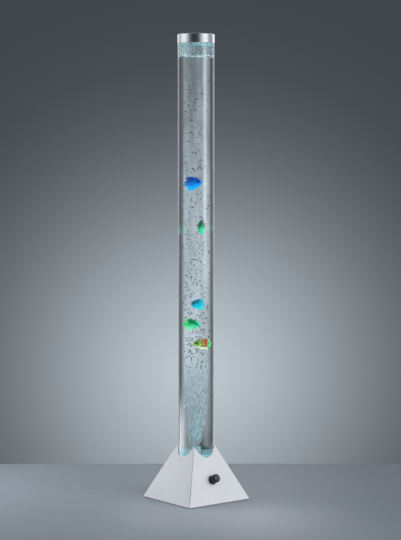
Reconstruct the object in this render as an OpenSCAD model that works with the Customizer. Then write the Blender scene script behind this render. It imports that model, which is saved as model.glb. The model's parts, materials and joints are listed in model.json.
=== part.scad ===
// Bubble tube floor lamp: water tube on a leaning-faced sheet metal base, with an air pump,
// a ring of lights, a lift-off cap, a control knob and floating toy fish.
// Millimetres, +Z up. The origin is on the floor, on the tube's axis; the knob faces -Y.

/* [Overall] */
// Height from the floor to the top of the cap
lamp_height = 1200; // [1000:10:1400]
// Width of the square base along its lower edge
base_side = 197; // [194:1:204]
// Lean of each base face from upright, in degrees
face_lean = 24.8; // [24:0.2:25.4]
// Thickness of the base's sheet metal
sheet = 1.2; // [1:0.1:1.5]
// Height of the rubber feet
foot_height = 2; // [2:0.5:4]
// Gap between the two halves of the cover at their seams
seam_gap = 1; // [0.6:0.1:1.4]

/* [Tube and cap] */
// Outer diameter of the water tube
tube_diameter = 93; // [91:0.5:94]
// Wall of the water tube
tube_wall = 3; // [2.5:0.5:4]
// Gap all round between the tube and the cover
cover_gap = 0.7; // [0.5:0.1:1]
// Height of the clear plug's top face above the floor
plug_top_z = 125; // [122:1:132]
// Thickness of the clear plug
plug_depth = 12; // [10:1:14]
// Height of the cap's rim
cap_height = 22.5; // [18:0.5:26]
// Wall of the cap's shell
cap_wall = 0.7; // [0.6:0.1:0.8]
// Part of the cap's insert that shows below the rim
insert_below_cap = 8.5; // [4:0.5:14]
// Diameter of the vent in the cap
vent_diameter = 3; // [2:0.5:5]

/* [Knob] */
// Height of the knob's centre on the front face
knob_z = 58.7; // [52:0.1:64]
// Sideways place of the knob
knob_x = -3.7; // [-10:0.1:0]
// Diameter of the knob's body
knob_diameter = 22; // [20:0.5:26]
// How far the knob stands out from the face
knob_length = 20; // [17:0.5:24]
// Number of grip flutes round the knob
knob_flutes = 24; // [12:1:30]

/* [Power inlet] */
// Sideways place of the inlet on the rear face
jack_x = 48; // [46:1:60]
// Height of the inlet on the rear face
jack_z = 24; // [20:1:30]
// Bore of the inlet
jack_bore = 6.3; // [5.5:0.1:6.5]
// Diameter of the inlet's centre pin
jack_pin = 2; // [1.5:0.1:2.5]

/* [Lights] */
// Number of lights in the ring
led_count = 12; // [6:1:18]
// Radius of the ring of lights
led_ring_radius = 31; // [28:0.5:35]
// Side of each light
led_side = 5; // [3:0.5:5]

/* [Fish] */
// Thickness of the fish
fish_thickness = 10; // [8:0.5:10]
// Distance between the fish lanes
lane_pitch = 11; // [10.6:0.1:11.2]
// Turn of the lanes about the tube's axis
lane_turn = -38; // [-60:1:60]
// Height of the blue fish
blue_z = 820; // [700:1:900]
// Height of the dark green fish
green_z = 704; // [640:1:790]
// Height of the turquoise fish
turquoise_z = 510; // [480:1:600]
// Height of the lime fish
lime_z = 456; // [440:1:470]
// Height of the striped fish
striped_z = 404; // [200:1:420]

/* [Hidden] */
$fn = 64;
e = 0.01;

// Cover: half width of the outer face at height z, and of the inner face
half = base_side / 2;
slope = tan(face_lean);
sheet_across = sheet / cos(face_lean);
function outer_at(z) = half - (z - foot_height) * slope;
function inner_at(z) = outer_at(z) - sheet_across;
function inner_face_z(d) = foot_height + (half - sheet_across - d) / slope;

tube_r = tube_diameter / 2;
bore_r = tube_r - tube_wall;
cover_hole_r = tube_r + cover_gap;

flange_w = 12;
flange_top = foot_height + sheet;
base_screw_in = 7;
base_screw_x = 60;
screw_r = 1.5;
screw_clear_r = 1.7;
screw_head_r = 2.8;
screw_head_h = 1.4;
screw_bite = 3;
recess_w = 0.6;
recess_share = 0.6;
through = 1;
foot_r = 7;
foot_in = 9;
foot_bevel = 0.5;

plate_t = 2;
plate_top = flange_top + plate_t;
plate_gap = 0.5;
plate_half = inner_at(plate_top) - plate_gap;
plate_cut = plate_t + 2 * through;
slot_w = 3;
slot_l = 26;
slot_pitch = 8;
slot_in = 29.2;
slot_x = -34;
slot_count = 5;

strip_t = 1;
strip_w = 9;
strip_low = plate_top + 1;
strip_high = 128;
strip_gap = 0.5;
cut_side = 2 * base_side;
cut_high = 2 * base_side;

// Tube holder
socket_r = tube_r + 0.3;
socket_wall = 2.5;
holder_r = socket_r + socket_wall;
socket_top = inner_face_z(holder_r + 1);
floor_z = 66;
floor_t = 6;
seat_z = floor_z + floor_t;
hose_hole_r = 12;
leg_r = 6;
leg_at = 52;
leg_top = 94;
leg_screw_l = 10;
pilot_depth = 12;
rib_t = 3;
rib_in = 2;
rib_drop = 6;
pedestal_r = 20;
pedestal_wall = 2.5;
pedestal_top = 92;
boss_r = 3.5;
boss_at = pedestal_r - pedestal_wall / 2;
boss_bore_r = 1;
boss_bore_depth = 8;

// Light board
led_board_t = 1.6;
led_board_r = bore_r - 2.5;
led_board_hole = 10;
led_board_screw_gap = 0.2;
led_h = 1.6;
led_top = pedestal_top + led_board_t;
led_dish_r = 0.38 * led_side;
led_dish_depth = 0.4;
led_offset = 15;
led_screw_head_r = 2;
led_screw_head_h = 1.2;
led_screw_l = 6;

// Plug and air stone
plug_gap = 0.15;
plug_low = plug_top_z - plug_depth;
barb_r = 2;
barb_len = 14;
air_r = 1;
nipple_r = 2.9;
nipple_h = 6;
stone_r = 9;
stone_h = 13;
stone_round = 2;
nipple_fit = 0.05;
nipple_end_gap = 0.3;
seal_r = 1.2;
seal_room = 0.2;
seal_gap = 0.05;

// Cap
cap_gap = 0.3;
cap_bore_r = tube_r + cap_gap;
cap_r = cap_bore_r + cap_wall;
cap_low = lamp_height - cap_height;
insert_flange = 2.2;
tube_top = lamp_height - cap_wall - insert_flange - cap_gap;
skirt_gap = 0.4;
skirt_r = bore_r - skirt_gap;
skirt_wall = 2.5;
skirt_low = cap_low - insert_below_cap;
cap_round = 1.5;
groove_in = 1.3;
cap_seal_r = 0.7;
cap_seal_drop = 10;
cap_seal_room = 0.1;
insert_top_t = 1;

// Pump, its length along X
pump_l = 68;
pump_w = 42;
pump_h = 34;
pump_wall = 2;
pad_h = 3;
pump_low = plate_top + pad_h;
pump_floor = pump_low + pump_wall;
pump_ear = 8;
ear_r = 5;
ear_h = 3;
ear_x = pump_l / 2 + pump_ear / 2;
pump_mid = pump_low + 16;
lid_t = 2;
lid_lip = 3;
lid_lip_wall = 1.5;
lid_gap = 0.1;
core_l = 18;
core_back = -pump_l / 2 + pump_wall + 3;
core_face = core_back + core_l;
core_t = 14;
core_arm = 3;
core_reach = 12;
core_web = 4;
coil_gap = 0.2;
coil_l = 12.5;
coil_build = 5.5;
magnet_gap = 1;
magnet_l = 6;
magnet_side = 14;
magnet_x = core_face + magnet_gap;
pin_in = 8;
pin_x = pump_l / 2 - pin_in;
pin_r = 1.5;
pin_l = 16.8;
pin_fit = 0.06;
post_y = 6.9;
post_t = 3;
post_l = 6;
post_up = 5;
knuckle_r = 3;
lever_x = magnet_x + magnet_l;
lever_w = 10;
lever_t = 1.6;
lever_plate_t = 1.6;
stud_r = 3;
stud_h = 1;
valve_x = pin_x - 14;
valve_h = 6;
valve_side = 20;
chamber_r = 5;
chamber_depth = 3;
nozzle_z = pump_floor + 3;
nozzle_l = 22;
nozzle_tip = -31;
nozzle_gap = 0.2;
diaphragm_h = 6.3;
pad_r = 5;
pad_y = 15;
pad_bore_gap = 0.1;
pump_screw_head_h = 1.6;
coil_lead_x = core_back + 11;
// The pump stands this far back from the inside of the front face, so that the hose can turn
pump_reach = 92;
pump_y = pump_reach - inner_at(nozzle_z);

// Check valve, in line with the pump's nozzle
check_r = 6;
check_back = -40;
check_front = -58;
check_barb = 8;
clip_w = 16;
clip_l = 10;
clip_back = -54;
clip_up = 3;

// Hoses and leads
hose_r = 3;
hose_bore = 2.15;
hose_sides = 10;
lead_r = 1.2;
lead_sides = 8;
lead_gap = 0.3;

// Control board
board_x = 34;
board_low_y = 49;
board_high_y = 81;
board_t = 1.6;
standoff_h = 6;
board_low = plate_top + standoff_h;
board_top = board_low + board_t;
board_hole_x = 31;
board_hole_y = [53, 77];
board_hole_r = 1.4;
standoff_r = 3;
standoff_bite = 1.8;
standoff_bore_r = 1.2;
standoff_bore_depth = 5;
board_screw_head_r = 2.2;
board_screw_head_h = 1.4;
board_screw_l = 4;
// Parts on the board: [x, y, length, width, height] and [x, y, radius, height]
socket_x = [-24, -8, 8];
socket_size = [8, 6, 7];
socket_y = 51;
block_parts = [[25, 63, 6, 8, 7], [-6, 63, 12, 8, 2.4], [12, 70, 8, 8, 5], [-28, 60.5, 7, 3, 3],
  [-17, 60.5, 7, 3, 3]];
round_parts = [[-24, 70, 4, 10], [-14, 70, 4, 10]];
lead_end_gap = 0.3;
plug_in_z = board_top + socket_size[2] / 2;
plug_in_y = socket_y - lead_end_gap;
power_in_x = block_parts[0][0] + block_parts[0][2] + lead_end_gap;
power_in_y = block_parts[0][1] + block_parts[0][3] / 2;

// Control shaft, all measured along the face's normal from its outer side
pot_r = 8.2;
pot_depth = 10;
pot_tags = [-5, 0, 5];
tag_w = 1.6;
tag_l = 8;
tag_t = 1;
tag_in = 7;
tag_out = 5;
bushing_r = 3.5;
bushing_gap = 0.2;
bushing_out = 6;
washer_r = 6.2;
washer_t = 0.5;
nut_r = 5.8;
nut_h = 2.2;
shaft_r = 3;
shaft_fit = 0.05;
shaft_end_gap = 0.3;
shaft_in = -9;
shaft_out = 16.5;
knob_lift = 0.4;
skirt_out = 1;
skirt_h = 3.2;
skirt_bevel = 0.8;
tip_bevel = 1.2;
knob_r = knob_diameter / 2;
knob_bore_r = 7.6;
knob_bore_over = 0.8;
flute_r = 0.9;
flute_out = 0.55;
cap_disc_r = 7.2;
cap_disc_t = 1;
cap_disc_up = 0.2;
dish_r = 28.3;
dish_at = 28;

// Power inlet, measured along the face's normal from its outer side
jack_flange_r = 5.5;
jack_flange_t = 1.2;
jack_thread_r = 3.95;
jack_thread_gap = 0.1;
jack_in = -15;
jack_bore_depth = 9;
jack_pin_l = 10;
jack_nut_r = 6;
jack_nut_h = 2.2;
jack_tag_at = 2;
jack_tag_w = 2;
jack_tag_t = 0.5;
jack_tag_l = 4;

// Fish: [length, overall height, place across the lane, lane, heading, tilt]
blue_fish = [42, 36, -6.1, -2, 1, 8];
green_fish = [34, 34, 9.3, 0, 0, 0];
turquoise_fish = [36, 28, 4, -3, -1, 1];
lime_fish = [36, 30, -9.1, -1, 1, -4];
striped_fish = [37, 31, 11.6, 0, -1, 4];
green_fish_v = 23.8;
// Bore radius that the fish sizes and places are given for; they follow the tube's own bore
fish_bore_r = 43.5;
fish_scale = bore_r / fish_bore_r;
body_share = 0.36;
body_in = 0.6;
fin_t = 1.2;
thin_fin_t = 1;
eye_r = 1.5;
eye_in = 1;
side_fin_in = 2;
side_fin_turn = -9;

// Places on the leaning front and rear faces; local +Z is the outward normal
module on_front_face(x, z) {
  translate([x, -outer_at(z), z]) rotate([90 - face_lean, 0, 0]) children();
}

module on_rear_face(x, z) {
  rotate([0, 0, 180]) on_front_face(-x, z) children();
}

module four_ways() {
  for (a = [0:90:270]) rotate([0, 0, a]) children();
}

module at_legs() {
  for (a = [45:90:315]) rotate([0, 0, a]) translate([leg_at, 0, 0]) children();
}

module at_bosses() {
  for (a = [0:90:270]) rotate([0, 0, a]) translate([boss_at, 0, 0]) children();
}

module at_board_holes() {
  for (x = [-board_hole_x, board_hole_x], y = board_hole_y) translate([x, y, 0]) children();
}

module at_pump() {
  translate([0, pump_y, 0]) children();
}

module at_pump_ears() {
  at_pump() for (x = [-ear_x, ear_x]) translate([x, 0, 0]) children();
}

module at_base_screws() {
  four_ways() for (x = [-base_screw_x, base_screw_x])
    translate([x, -half + base_screw_in, 0]) children();
}

module ring(r_in, r_out, low, high) {
  rotate_extrude() translate([r_in, low]) square([r_out - r_in, high - low]);
}

// Pan head screw with a cross recess; the head's top is at z = 0, the shank goes down
module screw(head_r, head_h, shank_r, length) {
  difference() {
    union() {
      translate([0, 0, -head_h]) cylinder(r = head_r, h = head_h);
      translate([0, 0, -head_h - length]) cylinder(r = shank_r, h = length + e);
    }
    for (a = [0, 90]) rotate([0, 0, a])
      translate([-head_r * recess_share, -recess_w / 2, -head_h * recess_share])
        cube([2 * head_r * recess_share, recess_w, head_h]);
  }
}

// Solid pyramid whose faces lie a distance inside the cover's outer faces, from z = low up
module pyramid(inset, low) {
  across = half - inset / cos(face_lean);
  w = across - (low - foot_height) * slope;
  top = foot_height + across / slope;
  profile = [[-w, low], [w, low], [0, top]];
  intersection() {
    rotate([90, 0, 0]) linear_extrude(cut_side, center = true) polygon(profile);
    rotate([90, 0, 90]) linear_extrude(cut_side, center = true) polygon(profile);
  }
}

module cover_shell() {
  difference() {
    union() {
      difference() {
        pyramid(0, foot_height);
        pyramid(sheet, foot_height - through);
      }
      difference() {
        intersection() {
          pyramid(0, foot_height);
          translate([-half, -half, foot_height]) cube([base_side, base_side, sheet]);
        }
        translate([-half + flange_w, -half + flange_w, foot_height - through])
          cube([base_side - 2 * flange_w, base_side - 2 * flange_w, sheet + 2 * through]);
      }
    }
    translate([0, 0, seat_z]) cylinder(r = cover_hole_r, h = cut_high);
    at_base_screws() translate([0, 0, foot_height - through])
      cylinder(r = screw_clear_r, h = sheet + 2 * through);
  }
}

// Half of the cover, cut along the diagonal through two corners
module cover_half(side) {
  difference() {
    cover_shell();
    rotate([0, 0, 45])
      translate([-cut_side / 2, (side - 1) * cut_side / 2 - seam_gap / 2, 0])
        cube([cut_side, cut_side + seam_gap, cut_high]);
  }
}

module base_cover_front() {
  color([0.84, 0.85, 0.86]) difference() {
    cover_half(1);
    on_front_face(knob_x, knob_z) translate([0, 0, -sheet - through])
      cylinder(r = bushing_r + bushing_gap, h = sheet + 2 * through);
  }
}

module base_cover_rear() {
  color([0.84, 0.85, 0.86]) difference() {
    cover_half(-1);
    on_rear_face(jack_x, jack_z) translate([0, 0, -sheet - through])
      cylinder(r = jack_thread_r + jack_thread_gap, h = sheet + 2 * through);
  }
}

// Inner strips that bridge the two seams
module seam_strips() {
  color([0.7, 0.71, 0.72]) intersection() {
    difference() {
      pyramid(sheet, strip_low);
      pyramid(sheet + strip_t, strip_low - through);
      translate([0, 0, seat_z]) cylinder(r = cover_hole_r + strip_gap, h = cut_high);
    }
    rotate([0, 0, 45]) translate([-cut_side / 2, -strip_w, strip_low])
      cube([cut_side, 2 * strip_w, strip_high - strip_low]);
  }
}

module base_plate() {
  color([0.55, 0.56, 0.58]) difference() {
    translate([-plate_half, -plate_half, flange_top]) cube([2 * plate_half, 2 * plate_half, plate_t]);
    translate([0, 0, flange_top - through]) {
      at_base_screws() cylinder(r = screw_r, h = plate_cut);
      at_legs() cylinder(r = screw_clear_r, h = plate_cut);
      at_board_holes() cylinder(r = screw_r, h = plate_cut);
      at_pump_ears() cylinder(r = screw_r, h = plate_cut);
      for (i = [0:slot_count - 1])
        translate([slot_x + (i - (slot_count - 1) / 2) * slot_pitch, slot_in - plate_half, 0]) {
          translate([-slot_w / 2, -slot_l / 2, 0]) cube([slot_w, slot_l, plate_cut]);
          for (s = [-1, 1]) translate([0, s * slot_l / 2, 0])
            cylinder(r = slot_w / 2, h = plate_cut);
        }
    }
  }
}

module base_screws() {
  color([0.75, 0.75, 0.77]) at_base_screws() translate([0, 0, foot_height - screw_head_h])
    mirror([0, 0, 1]) screw(screw_head_r, screw_head_h, screw_r, sheet + plate_t + screw_bite);
}

module holder_screws() {
  color([0.75, 0.75, 0.77]) at_legs() translate([0, 0, flange_top - screw_head_h])
    mirror([0, 0, 1]) screw(screw_head_r, screw_head_h, screw_r, plate_t + leg_screw_l);
}

module rubber_feet() {
  color([0.12, 0.12, 0.13]) four_ways()
    translate([half - foot_in, half - foot_in, 0]) rotate_extrude()
      polygon([[0, 0], [foot_r - foot_bevel, 0], [foot_r, foot_bevel], [foot_r, foot_height],
        [0, foot_height]]);
}

// Moulded holder: socket for the tube, floor, legs and the pedestal of the light board
module tube_holder() {
  color([0.9, 0.9, 0.88]) difference() {
    union() {
      difference() {
        union() {
          ring(hose_hole_r, holder_r, floor_z, seat_z);
          ring(socket_r, holder_r, floor_z, socket_top);
          at_legs() translate([0, 0, plate_top]) cylinder(r = leg_r, h = leg_top - plate_top);
          for (a = [45:90:315]) rotate([0, 0, a])
            translate([hose_hole_r + rib_in, -rib_t / 2, floor_z - rib_drop])
              cube([leg_at - hose_hole_r - rib_in, rib_t, rib_drop + through]);
        }
        translate([0, 0, seat_z]) cylinder(r = socket_r, h = cut_high);
      }
      ring(pedestal_r - pedestal_wall, pedestal_r, seat_z - through, pedestal_top);
      at_bosses() translate([0, 0, seat_z - through])
        cylinder(r = boss_r, h = pedestal_top - seat_z + through);
    }
    at_legs() translate([0, 0, plate_top - through]) cylinder(r = screw_r, h = pilot_depth + through);
    at_bosses() translate([0, 0, pedestal_top - boss_bore_depth])
      cylinder(r = boss_bore_r, h = boss_bore_depth + through);
  }
}

module bottom_plug() {
  color([0.75, 0.95, 0.95, 0.6]) difference() {
    union() {
      translate([0, 0, plug_low]) cylinder(r = bore_r - plug_gap, h = plug_depth);
      translate([0, 0, plug_top_z - through]) cylinder(r = nipple_r, h = nipple_h + through);
      translate([0, 0, plug_low - barb_len]) cylinder(r = barb_r, h = barb_len + through);
    }
    translate([0, 0, plug_low - barb_len - through])
      cylinder(r = air_r, h = barb_len + plug_depth + nipple_h + 2 * through);
    ring(bore_r - 2 * seal_r - seal_room, bore_r + through,
      plug_low + plug_depth / 2 - seal_r - seal_room,
      plug_low + plug_depth / 2 + seal_r + seal_room);
  }
}

module plug_seal() {
  color([0.15, 0.15, 0.15]) translate([0, 0, plug_low + plug_depth / 2])
    rotate_extrude() translate([bore_r - seal_r - seal_gap, 0]) circle(r = seal_r);
}

module air_stone() {
  color([0.45, 0.5, 0.5]) translate([0, 0, plug_top_z]) difference() {
    rotate_extrude() difference() {
      union() {
        square([stone_r - stone_round, stone_h]);
        square([stone_r, stone_h - stone_round]);
        translate([stone_r - stone_round, stone_h - stone_round]) circle(r = stone_round);
      }
      translate([-stone_r, -through]) square([stone_r, stone_h + 2 * through]);
    }
    translate([0, 0, -through])
      cylinder(r = nipple_r + nipple_fit, h = nipple_h + nipple_end_gap + through);
  }
}

module led_board() {
  color([0.93, 0.94, 0.93]) difference() {
    ring(led_board_hole, led_board_r, pedestal_top, led_top);
    at_bosses() translate([0, 0, pedestal_top - through])
      cylinder(r = boss_bore_r + led_board_screw_gap, h = led_board_t + 2 * through);
  }
}

module leds() {
  color([0.6, 0.95, 0.95]) for (i = [0:led_count - 1]) rotate([0, 0, i * 360 / led_count + led_offset])
    translate([led_ring_radius - led_side / 2, -led_side / 2, led_top]) difference() {
      cube([led_side, led_side, led_h]);
      translate([led_side / 2, led_side / 2, led_h - led_dish_depth])
        cylinder(r = led_dish_r, h = led_dish_depth + through);
    }
}

module led_board_screws() {
  color([0.75, 0.75, 0.77]) at_bosses() translate([0, 0, led_top + led_screw_head_h])
    screw(led_screw_head_r, led_screw_head_h, boss_bore_r, led_board_t + led_screw_l);
}

module tube() {
  color([0.85, 0.95, 1, 0.35]) ring(bore_r, tube_r, seat_z, tube_top);
}

// Pump case: open box with mounting ears, pivot posts and a ledge under the magnet core
module pump_case() {
  color([0.2, 0.21, 0.23]) at_pump() difference() {
    union() {
      translate([-pump_l / 2, -pump_w / 2, pump_low]) cube([pump_l, pump_w, pump_h]);
      for (s = [0, 1]) mirror([s, 0, 0]) translate([ear_x, 0, pump_low]) {
        cylinder(r = ear_r, h = ear_h);
        translate([-ear_r, -ear_r, 0]) cube([ear_r, 2 * ear_r, ear_h]);
      }
    }
    difference() {
      translate([-pump_l / 2 + pump_wall, -pump_w / 2 + pump_wall, pump_floor])
        cube([pump_l - 2 * pump_wall, pump_w - 2 * pump_wall, pump_h]);
      translate([core_back, -core_t / 2, pump_floor - through])
        cube([core_l, core_t, pump_mid - core_reach - pump_floor + through]);
      for (y = [-1, 1]) translate([pin_x - post_l / 2, y * post_y - post_t / 2, pump_floor - through])
        cube([post_l, post_t, pump_mid - pump_floor + post_up]);
    }
    for (x = [-ear_x, ear_x]) translate([x, 0, pump_low - through])
      cylinder(r = screw_clear_r, h = ear_h + 2 * through);
    translate([pin_x, 0, pump_mid]) rotate([90, 0, 0]) cylinder(r = pin_r, h = pin_l, center = true);
    translate([valve_x, -pump_w / 2 - through, nozzle_z]) rotate([-90, 0, 0])
      cylinder(r = barb_r + nozzle_gap, h = pump_wall + 2 * through);
    translate([coil_lead_x, pump_w / 2 - pump_wall - through, pump_mid]) rotate([-90, 0, 0])
      cylinder(r = lead_r + lead_gap, h = pump_wall + 2 * through);
  }
}

// A box across the pump, as long and wide as its inside less a gap all round
module in_pump(gap, low, high) {
  translate([-pump_l / 2 + pump_wall + gap, -pump_w / 2 + pump_wall + gap, low])
    cube([pump_l - 2 * pump_wall - 2 * gap, pump_w - 2 * pump_wall - 2 * gap, high - low]);
}

module pump_lid() {
  top = pump_low + pump_h;
  color([0.2, 0.21, 0.23]) at_pump() union() {
    translate([-pump_l / 2, -pump_w / 2, top]) cube([pump_l, pump_w, lid_t]);
    difference() {
      in_pump(lid_gap, top - lid_lip, top + lid_t / 2);
      in_pump(lid_gap + lid_lip_wall, top - lid_lip - through, top);
    }
  }
}

// Three-armed laminated core
module pump_core() {
  color([0.4, 0.41, 0.43]) at_pump() translate([0, 0, pump_mid]) difference() {
    translate([core_back, -core_t / 2, -core_reach])
      cube([core_l, core_t, 2 * core_reach]);
    for (s = [0, 1]) mirror([0, 0, s]) translate([core_back + core_web, -core_t, core_arm])
      cube([core_l, 2 * core_t, core_reach - 2 * core_arm]);
  }
}

module pump_coil() {
  reach = core_reach - core_arm - coil_gap;
  color([0.62, 0.32, 0.14]) at_pump() translate([core_back + core_web + coil_gap, 0, pump_mid])
    difference() {
      translate([0, -core_t / 2 - coil_build, -reach])
        cube([coil_l, core_t + 2 * coil_build, 2 * reach]);
      translate([-through, -core_t / 2, -core_arm])
        cube([coil_l + 2 * through, core_t, 2 * core_arm]);
    }
}

// Rocking arm that carries the magnet and works the diaphragm
module pump_lever() {
  color([0.78, 0.76, 0.68]) at_pump() translate([0, 0, pump_mid]) difference() {
    union() {
      translate([lever_x, -lever_w / 2, -lever_t / 2]) cube([pin_x - lever_x, lever_w, lever_t]);
      translate([lever_x, -magnet_side / 2, -magnet_side / 2])
        cube([lever_plate_t, magnet_side, magnet_side]);
      translate([pin_x, 0, 0]) rotate([90, 0, 0])
        cylinder(r = knuckle_r, h = lever_w, center = true);
      translate([valve_x, 0, -lever_t / 2 - stud_h / 2]) cylinder(r = stud_r, h = stud_h);
    }
    translate([pin_x, 0, 0]) rotate([90, 0, 0])
      cylinder(r = pin_r + pin_fit, h = lever_w + 2 * through, center = true);
  }
}

module pump_magnet() {
  color([0.3, 0.3, 0.32]) at_pump()
    translate([magnet_x, -magnet_side / 2, pump_mid - magnet_side / 2])
      cube([magnet_l, magnet_side, magnet_side]);
}

module pump_pin() {
  color([0.75, 0.75, 0.77]) at_pump() translate([pin_x, 0, pump_mid]) rotate([90, 0, 0])
    cylinder(r = pin_r, h = pin_l, center = true);
}

module pump_valve_block() {
  color([0.85, 0.85, 0.83]) at_pump() difference() {
    union() {
      translate([valve_x - valve_side / 2, -valve_side / 2, pump_floor])
        cube([valve_side, valve_side, valve_h]);
      translate([valve_x, nozzle_tip, nozzle_z]) rotate([-90, 0, 0])
        cylinder(r = barb_r, h = nozzle_l);
    }
    translate([valve_x, 0, pump_floor + valve_h - chamber_depth])
      cylinder(r = chamber_r, h = chamber_depth + through);
    translate([valve_x, nozzle_tip - through, nozzle_z]) rotate([-90, 0, 0])
      cylinder(r = air_r, h = -nozzle_tip);
  }
}

module pump_diaphragm() {
  h = diaphragm_h;
  color([0.15, 0.15, 0.16]) at_pump() translate([valve_x, 0, pump_floor + valve_h]) rotate_extrude()
    polygon([[5.2, 0], [8.5, 0], [8.5, 1.2], [7, 1.2], [6.6, 3.4], [4, 4.4], [4, h], [0, h],
      [0, h - 2.2], [3.4, h - 2.4], [5.6, 2.6], [5.2, 1]]);
}

module pump_pads() {
  color([0.12, 0.12, 0.13]) {
    at_pump_ears() ring(screw_r + pad_bore_gap, pad_r, plate_top, pump_low);
    at_pump() for (y = [-pad_y, pad_y]) translate([0, y, plate_top]) cylinder(r = pad_r, h = pad_h);
  }
}

module pump_screws() {
  color([0.75, 0.75, 0.77]) at_pump_ears()
    translate([0, 0, pump_low + ear_h + pump_screw_head_h])
      screw(screw_head_r, pump_screw_head_h, screw_r, pad_h + ear_h + plate_t);
}

module check_valve() {
  length = check_back - check_front;
  color([0.9, 0.92, 0.93]) at_pump() translate([valve_x, 0, nozzle_z]) rotate([90, 0, 0])
    difference() {
      union() {
        translate([0, 0, -check_back]) cylinder(r = check_r, h = length);
        translate([0, 0, -check_back - check_barb]) cylinder(r = barb_r, h = check_barb + through);
        translate([0, 0, -check_front - through]) cylinder(r = barb_r, h = check_barb + through);
      }
      translate([0, 0, -check_back - check_barb - through])
        cylinder(r = air_r, h = length + 2 * check_barb + 2 * through);
    }
}

module valve_clip() {
  color([0.3, 0.31, 0.33]) at_pump() difference() {
    translate([valve_x - clip_w / 2, clip_back, plate_top])
      cube([clip_w, clip_l, nozzle_z - plate_top + clip_up]);
    translate([valve_x, 0, nozzle_z]) rotate([90, 0, 0]) cylinder(r = check_r, h = base_side);
  }
}

module control_board() {
  color([0.1, 0.35, 0.2]) difference() {
    translate([-board_x, board_low_y, board_low]) cube([2 * board_x, board_high_y - board_low_y, board_t]);
    at_board_holes() translate([0, 0, board_low - through])
      cylinder(r = board_hole_r, h = board_t + 2 * through);
  }
}

module board_components() {
  color([0.15, 0.15, 0.17]) translate([0, 0, board_top]) {
    for (x = socket_x) translate([x - socket_size[0] / 2, socket_y, 0]) cube(socket_size);
    for (p = block_parts) translate([p[0], p[1], 0]) cube([p[2], p[3], p[4]]);
    for (p = round_parts) translate([p[0], p[1], 0]) cylinder(r = p[2], h = p[3]);
  }
}

module board_standoffs() {
  color([0.8, 0.7, 0.4]) at_board_holes() difference() {
    union() {
      translate([0, 0, plate_top]) cylinder(r = standoff_r, h = standoff_h, $fn = 6);
      translate([0, 0, plate_top - standoff_bite]) cylinder(r = screw_r, h = standoff_bite + through);
    }
    translate([0, 0, board_low - standoff_bore_depth])
      cylinder(r = standoff_bore_r, h = standoff_bore_depth + through);
  }
}

module board_screws() {
  color([0.75, 0.75, 0.77]) at_board_holes() translate([0, 0, board_top + board_screw_head_h])
    screw(board_screw_head_r, board_screw_head_h, standoff_bore_r, board_t + board_screw_l);
}

// Control with its threaded bushing through the front face
module potentiometer() {
  color([0.35, 0.42, 0.5]) on_front_face(knob_x, knob_z) difference() {
    union() {
      translate([0, 0, -sheet - pot_depth]) cylinder(r = pot_r, h = pot_depth);
      translate([0, 0, -sheet - through]) cylinder(r = bushing_r, h = bushing_out + sheet + through);
      for (x = pot_tags) translate([x - tag_w / 2, -pot_r - tag_out, -sheet - tag_in])
        cube([tag_w, tag_l, tag_t]);
    }
    translate([0, 0, shaft_in - shaft_end_gap])
      cylinder(r = shaft_r + shaft_fit, h = bushing_out - shaft_in + 2 * through);
  }
}

module control_nut() {
  color([0.75, 0.75, 0.77]) on_front_face(knob_x, knob_z) difference() {
    union() {
      cylinder(r = washer_r, h = washer_t);
      translate([0, 0, washer_t - e]) cylinder(r = nut_r, h = nut_h, $fn = 6);
    }
    translate([0, 0, -through]) cylinder(r = bushing_r, h = washer_t + nut_h + 2 * through);
  }
}

module control_shaft() {
  color([0.75, 0.75, 0.77]) on_front_face(knob_x, knob_z)
    translate([0, 0, shaft_in]) cylinder(r = shaft_r, h = shaft_out - shaft_in);
}

module knob() {
  color([0.08, 0.09, 0.1]) on_front_face(knob_x, knob_z) difference() {
    rotate_extrude() polygon([[0, knob_lift], [knob_r + skirt_out, knob_lift],
      [knob_r + skirt_out, skirt_h - skirt_bevel], [knob_r, skirt_h],
      [knob_r, knob_length - tip_bevel], [knob_r - tip_bevel, knob_length], [0, knob_length]]);
    cylinder(r = knob_bore_r, h = bushing_out + knob_bore_over);
    cylinder(r = shaft_r, h = shaft_out);
    translate([0, 0, knob_length - cap_disc_t]) cylinder(r = cap_disc_r, h = cap_disc_t + through);
    for (i = [0:knob_flutes - 1]) rotate([0, 0, i * 360 / knob_flutes])
      translate([knob_r + flute_out, 0, skirt_h]) cylinder(r = flute_r, h = knob_length);
  }
}

module knob_cap() {
  color([0.35, 0.37, 0.39]) on_front_face(knob_x, knob_z) difference() {
    translate([0, 0, knob_length - cap_disc_t]) cylinder(r = cap_disc_r, h = cap_disc_t + cap_disc_up);
    translate([0, 0, knob_length + dish_at]) sphere(r = dish_r);
  }
}

// Low voltage inlet through the rear face
module power_inlet() {
  color([0.1, 0.1, 0.11]) on_rear_face(jack_x, jack_z) union() {
    difference() {
      union() {
        cylinder(r = jack_flange_r, h = jack_flange_t);
        translate([0, 0, jack_in]) cylinder(r = jack_thread_r, h = -jack_in + e);
      }
      translate([0, 0, -jack_bore_depth])
        cylinder(r = jack_bore / 2, h = jack_bore_depth + jack_flange_t + through);
    }
    translate([0, 0, -jack_pin_l]) cylinder(r = jack_pin / 2, h = jack_pin_l);
    for (x = [-jack_tag_at, jack_tag_at])
      translate([x - jack_tag_w / 2, -jack_tag_t / 2, jack_in - jack_tag_l])
        cube([jack_tag_w, jack_tag_t, jack_tag_l + through]);
  }
}

module inlet_nut() {
  color([0.75, 0.75, 0.77]) on_rear_face(jack_x, jack_z) difference() {
    translate([0, 0, -sheet - jack_nut_h]) cylinder(r = jack_nut_r, h = jack_nut_h, $fn = 6);
    translate([0, 0, jack_in]) cylinder(r = jack_thread_r, h = -jack_in);
  }
}

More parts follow.
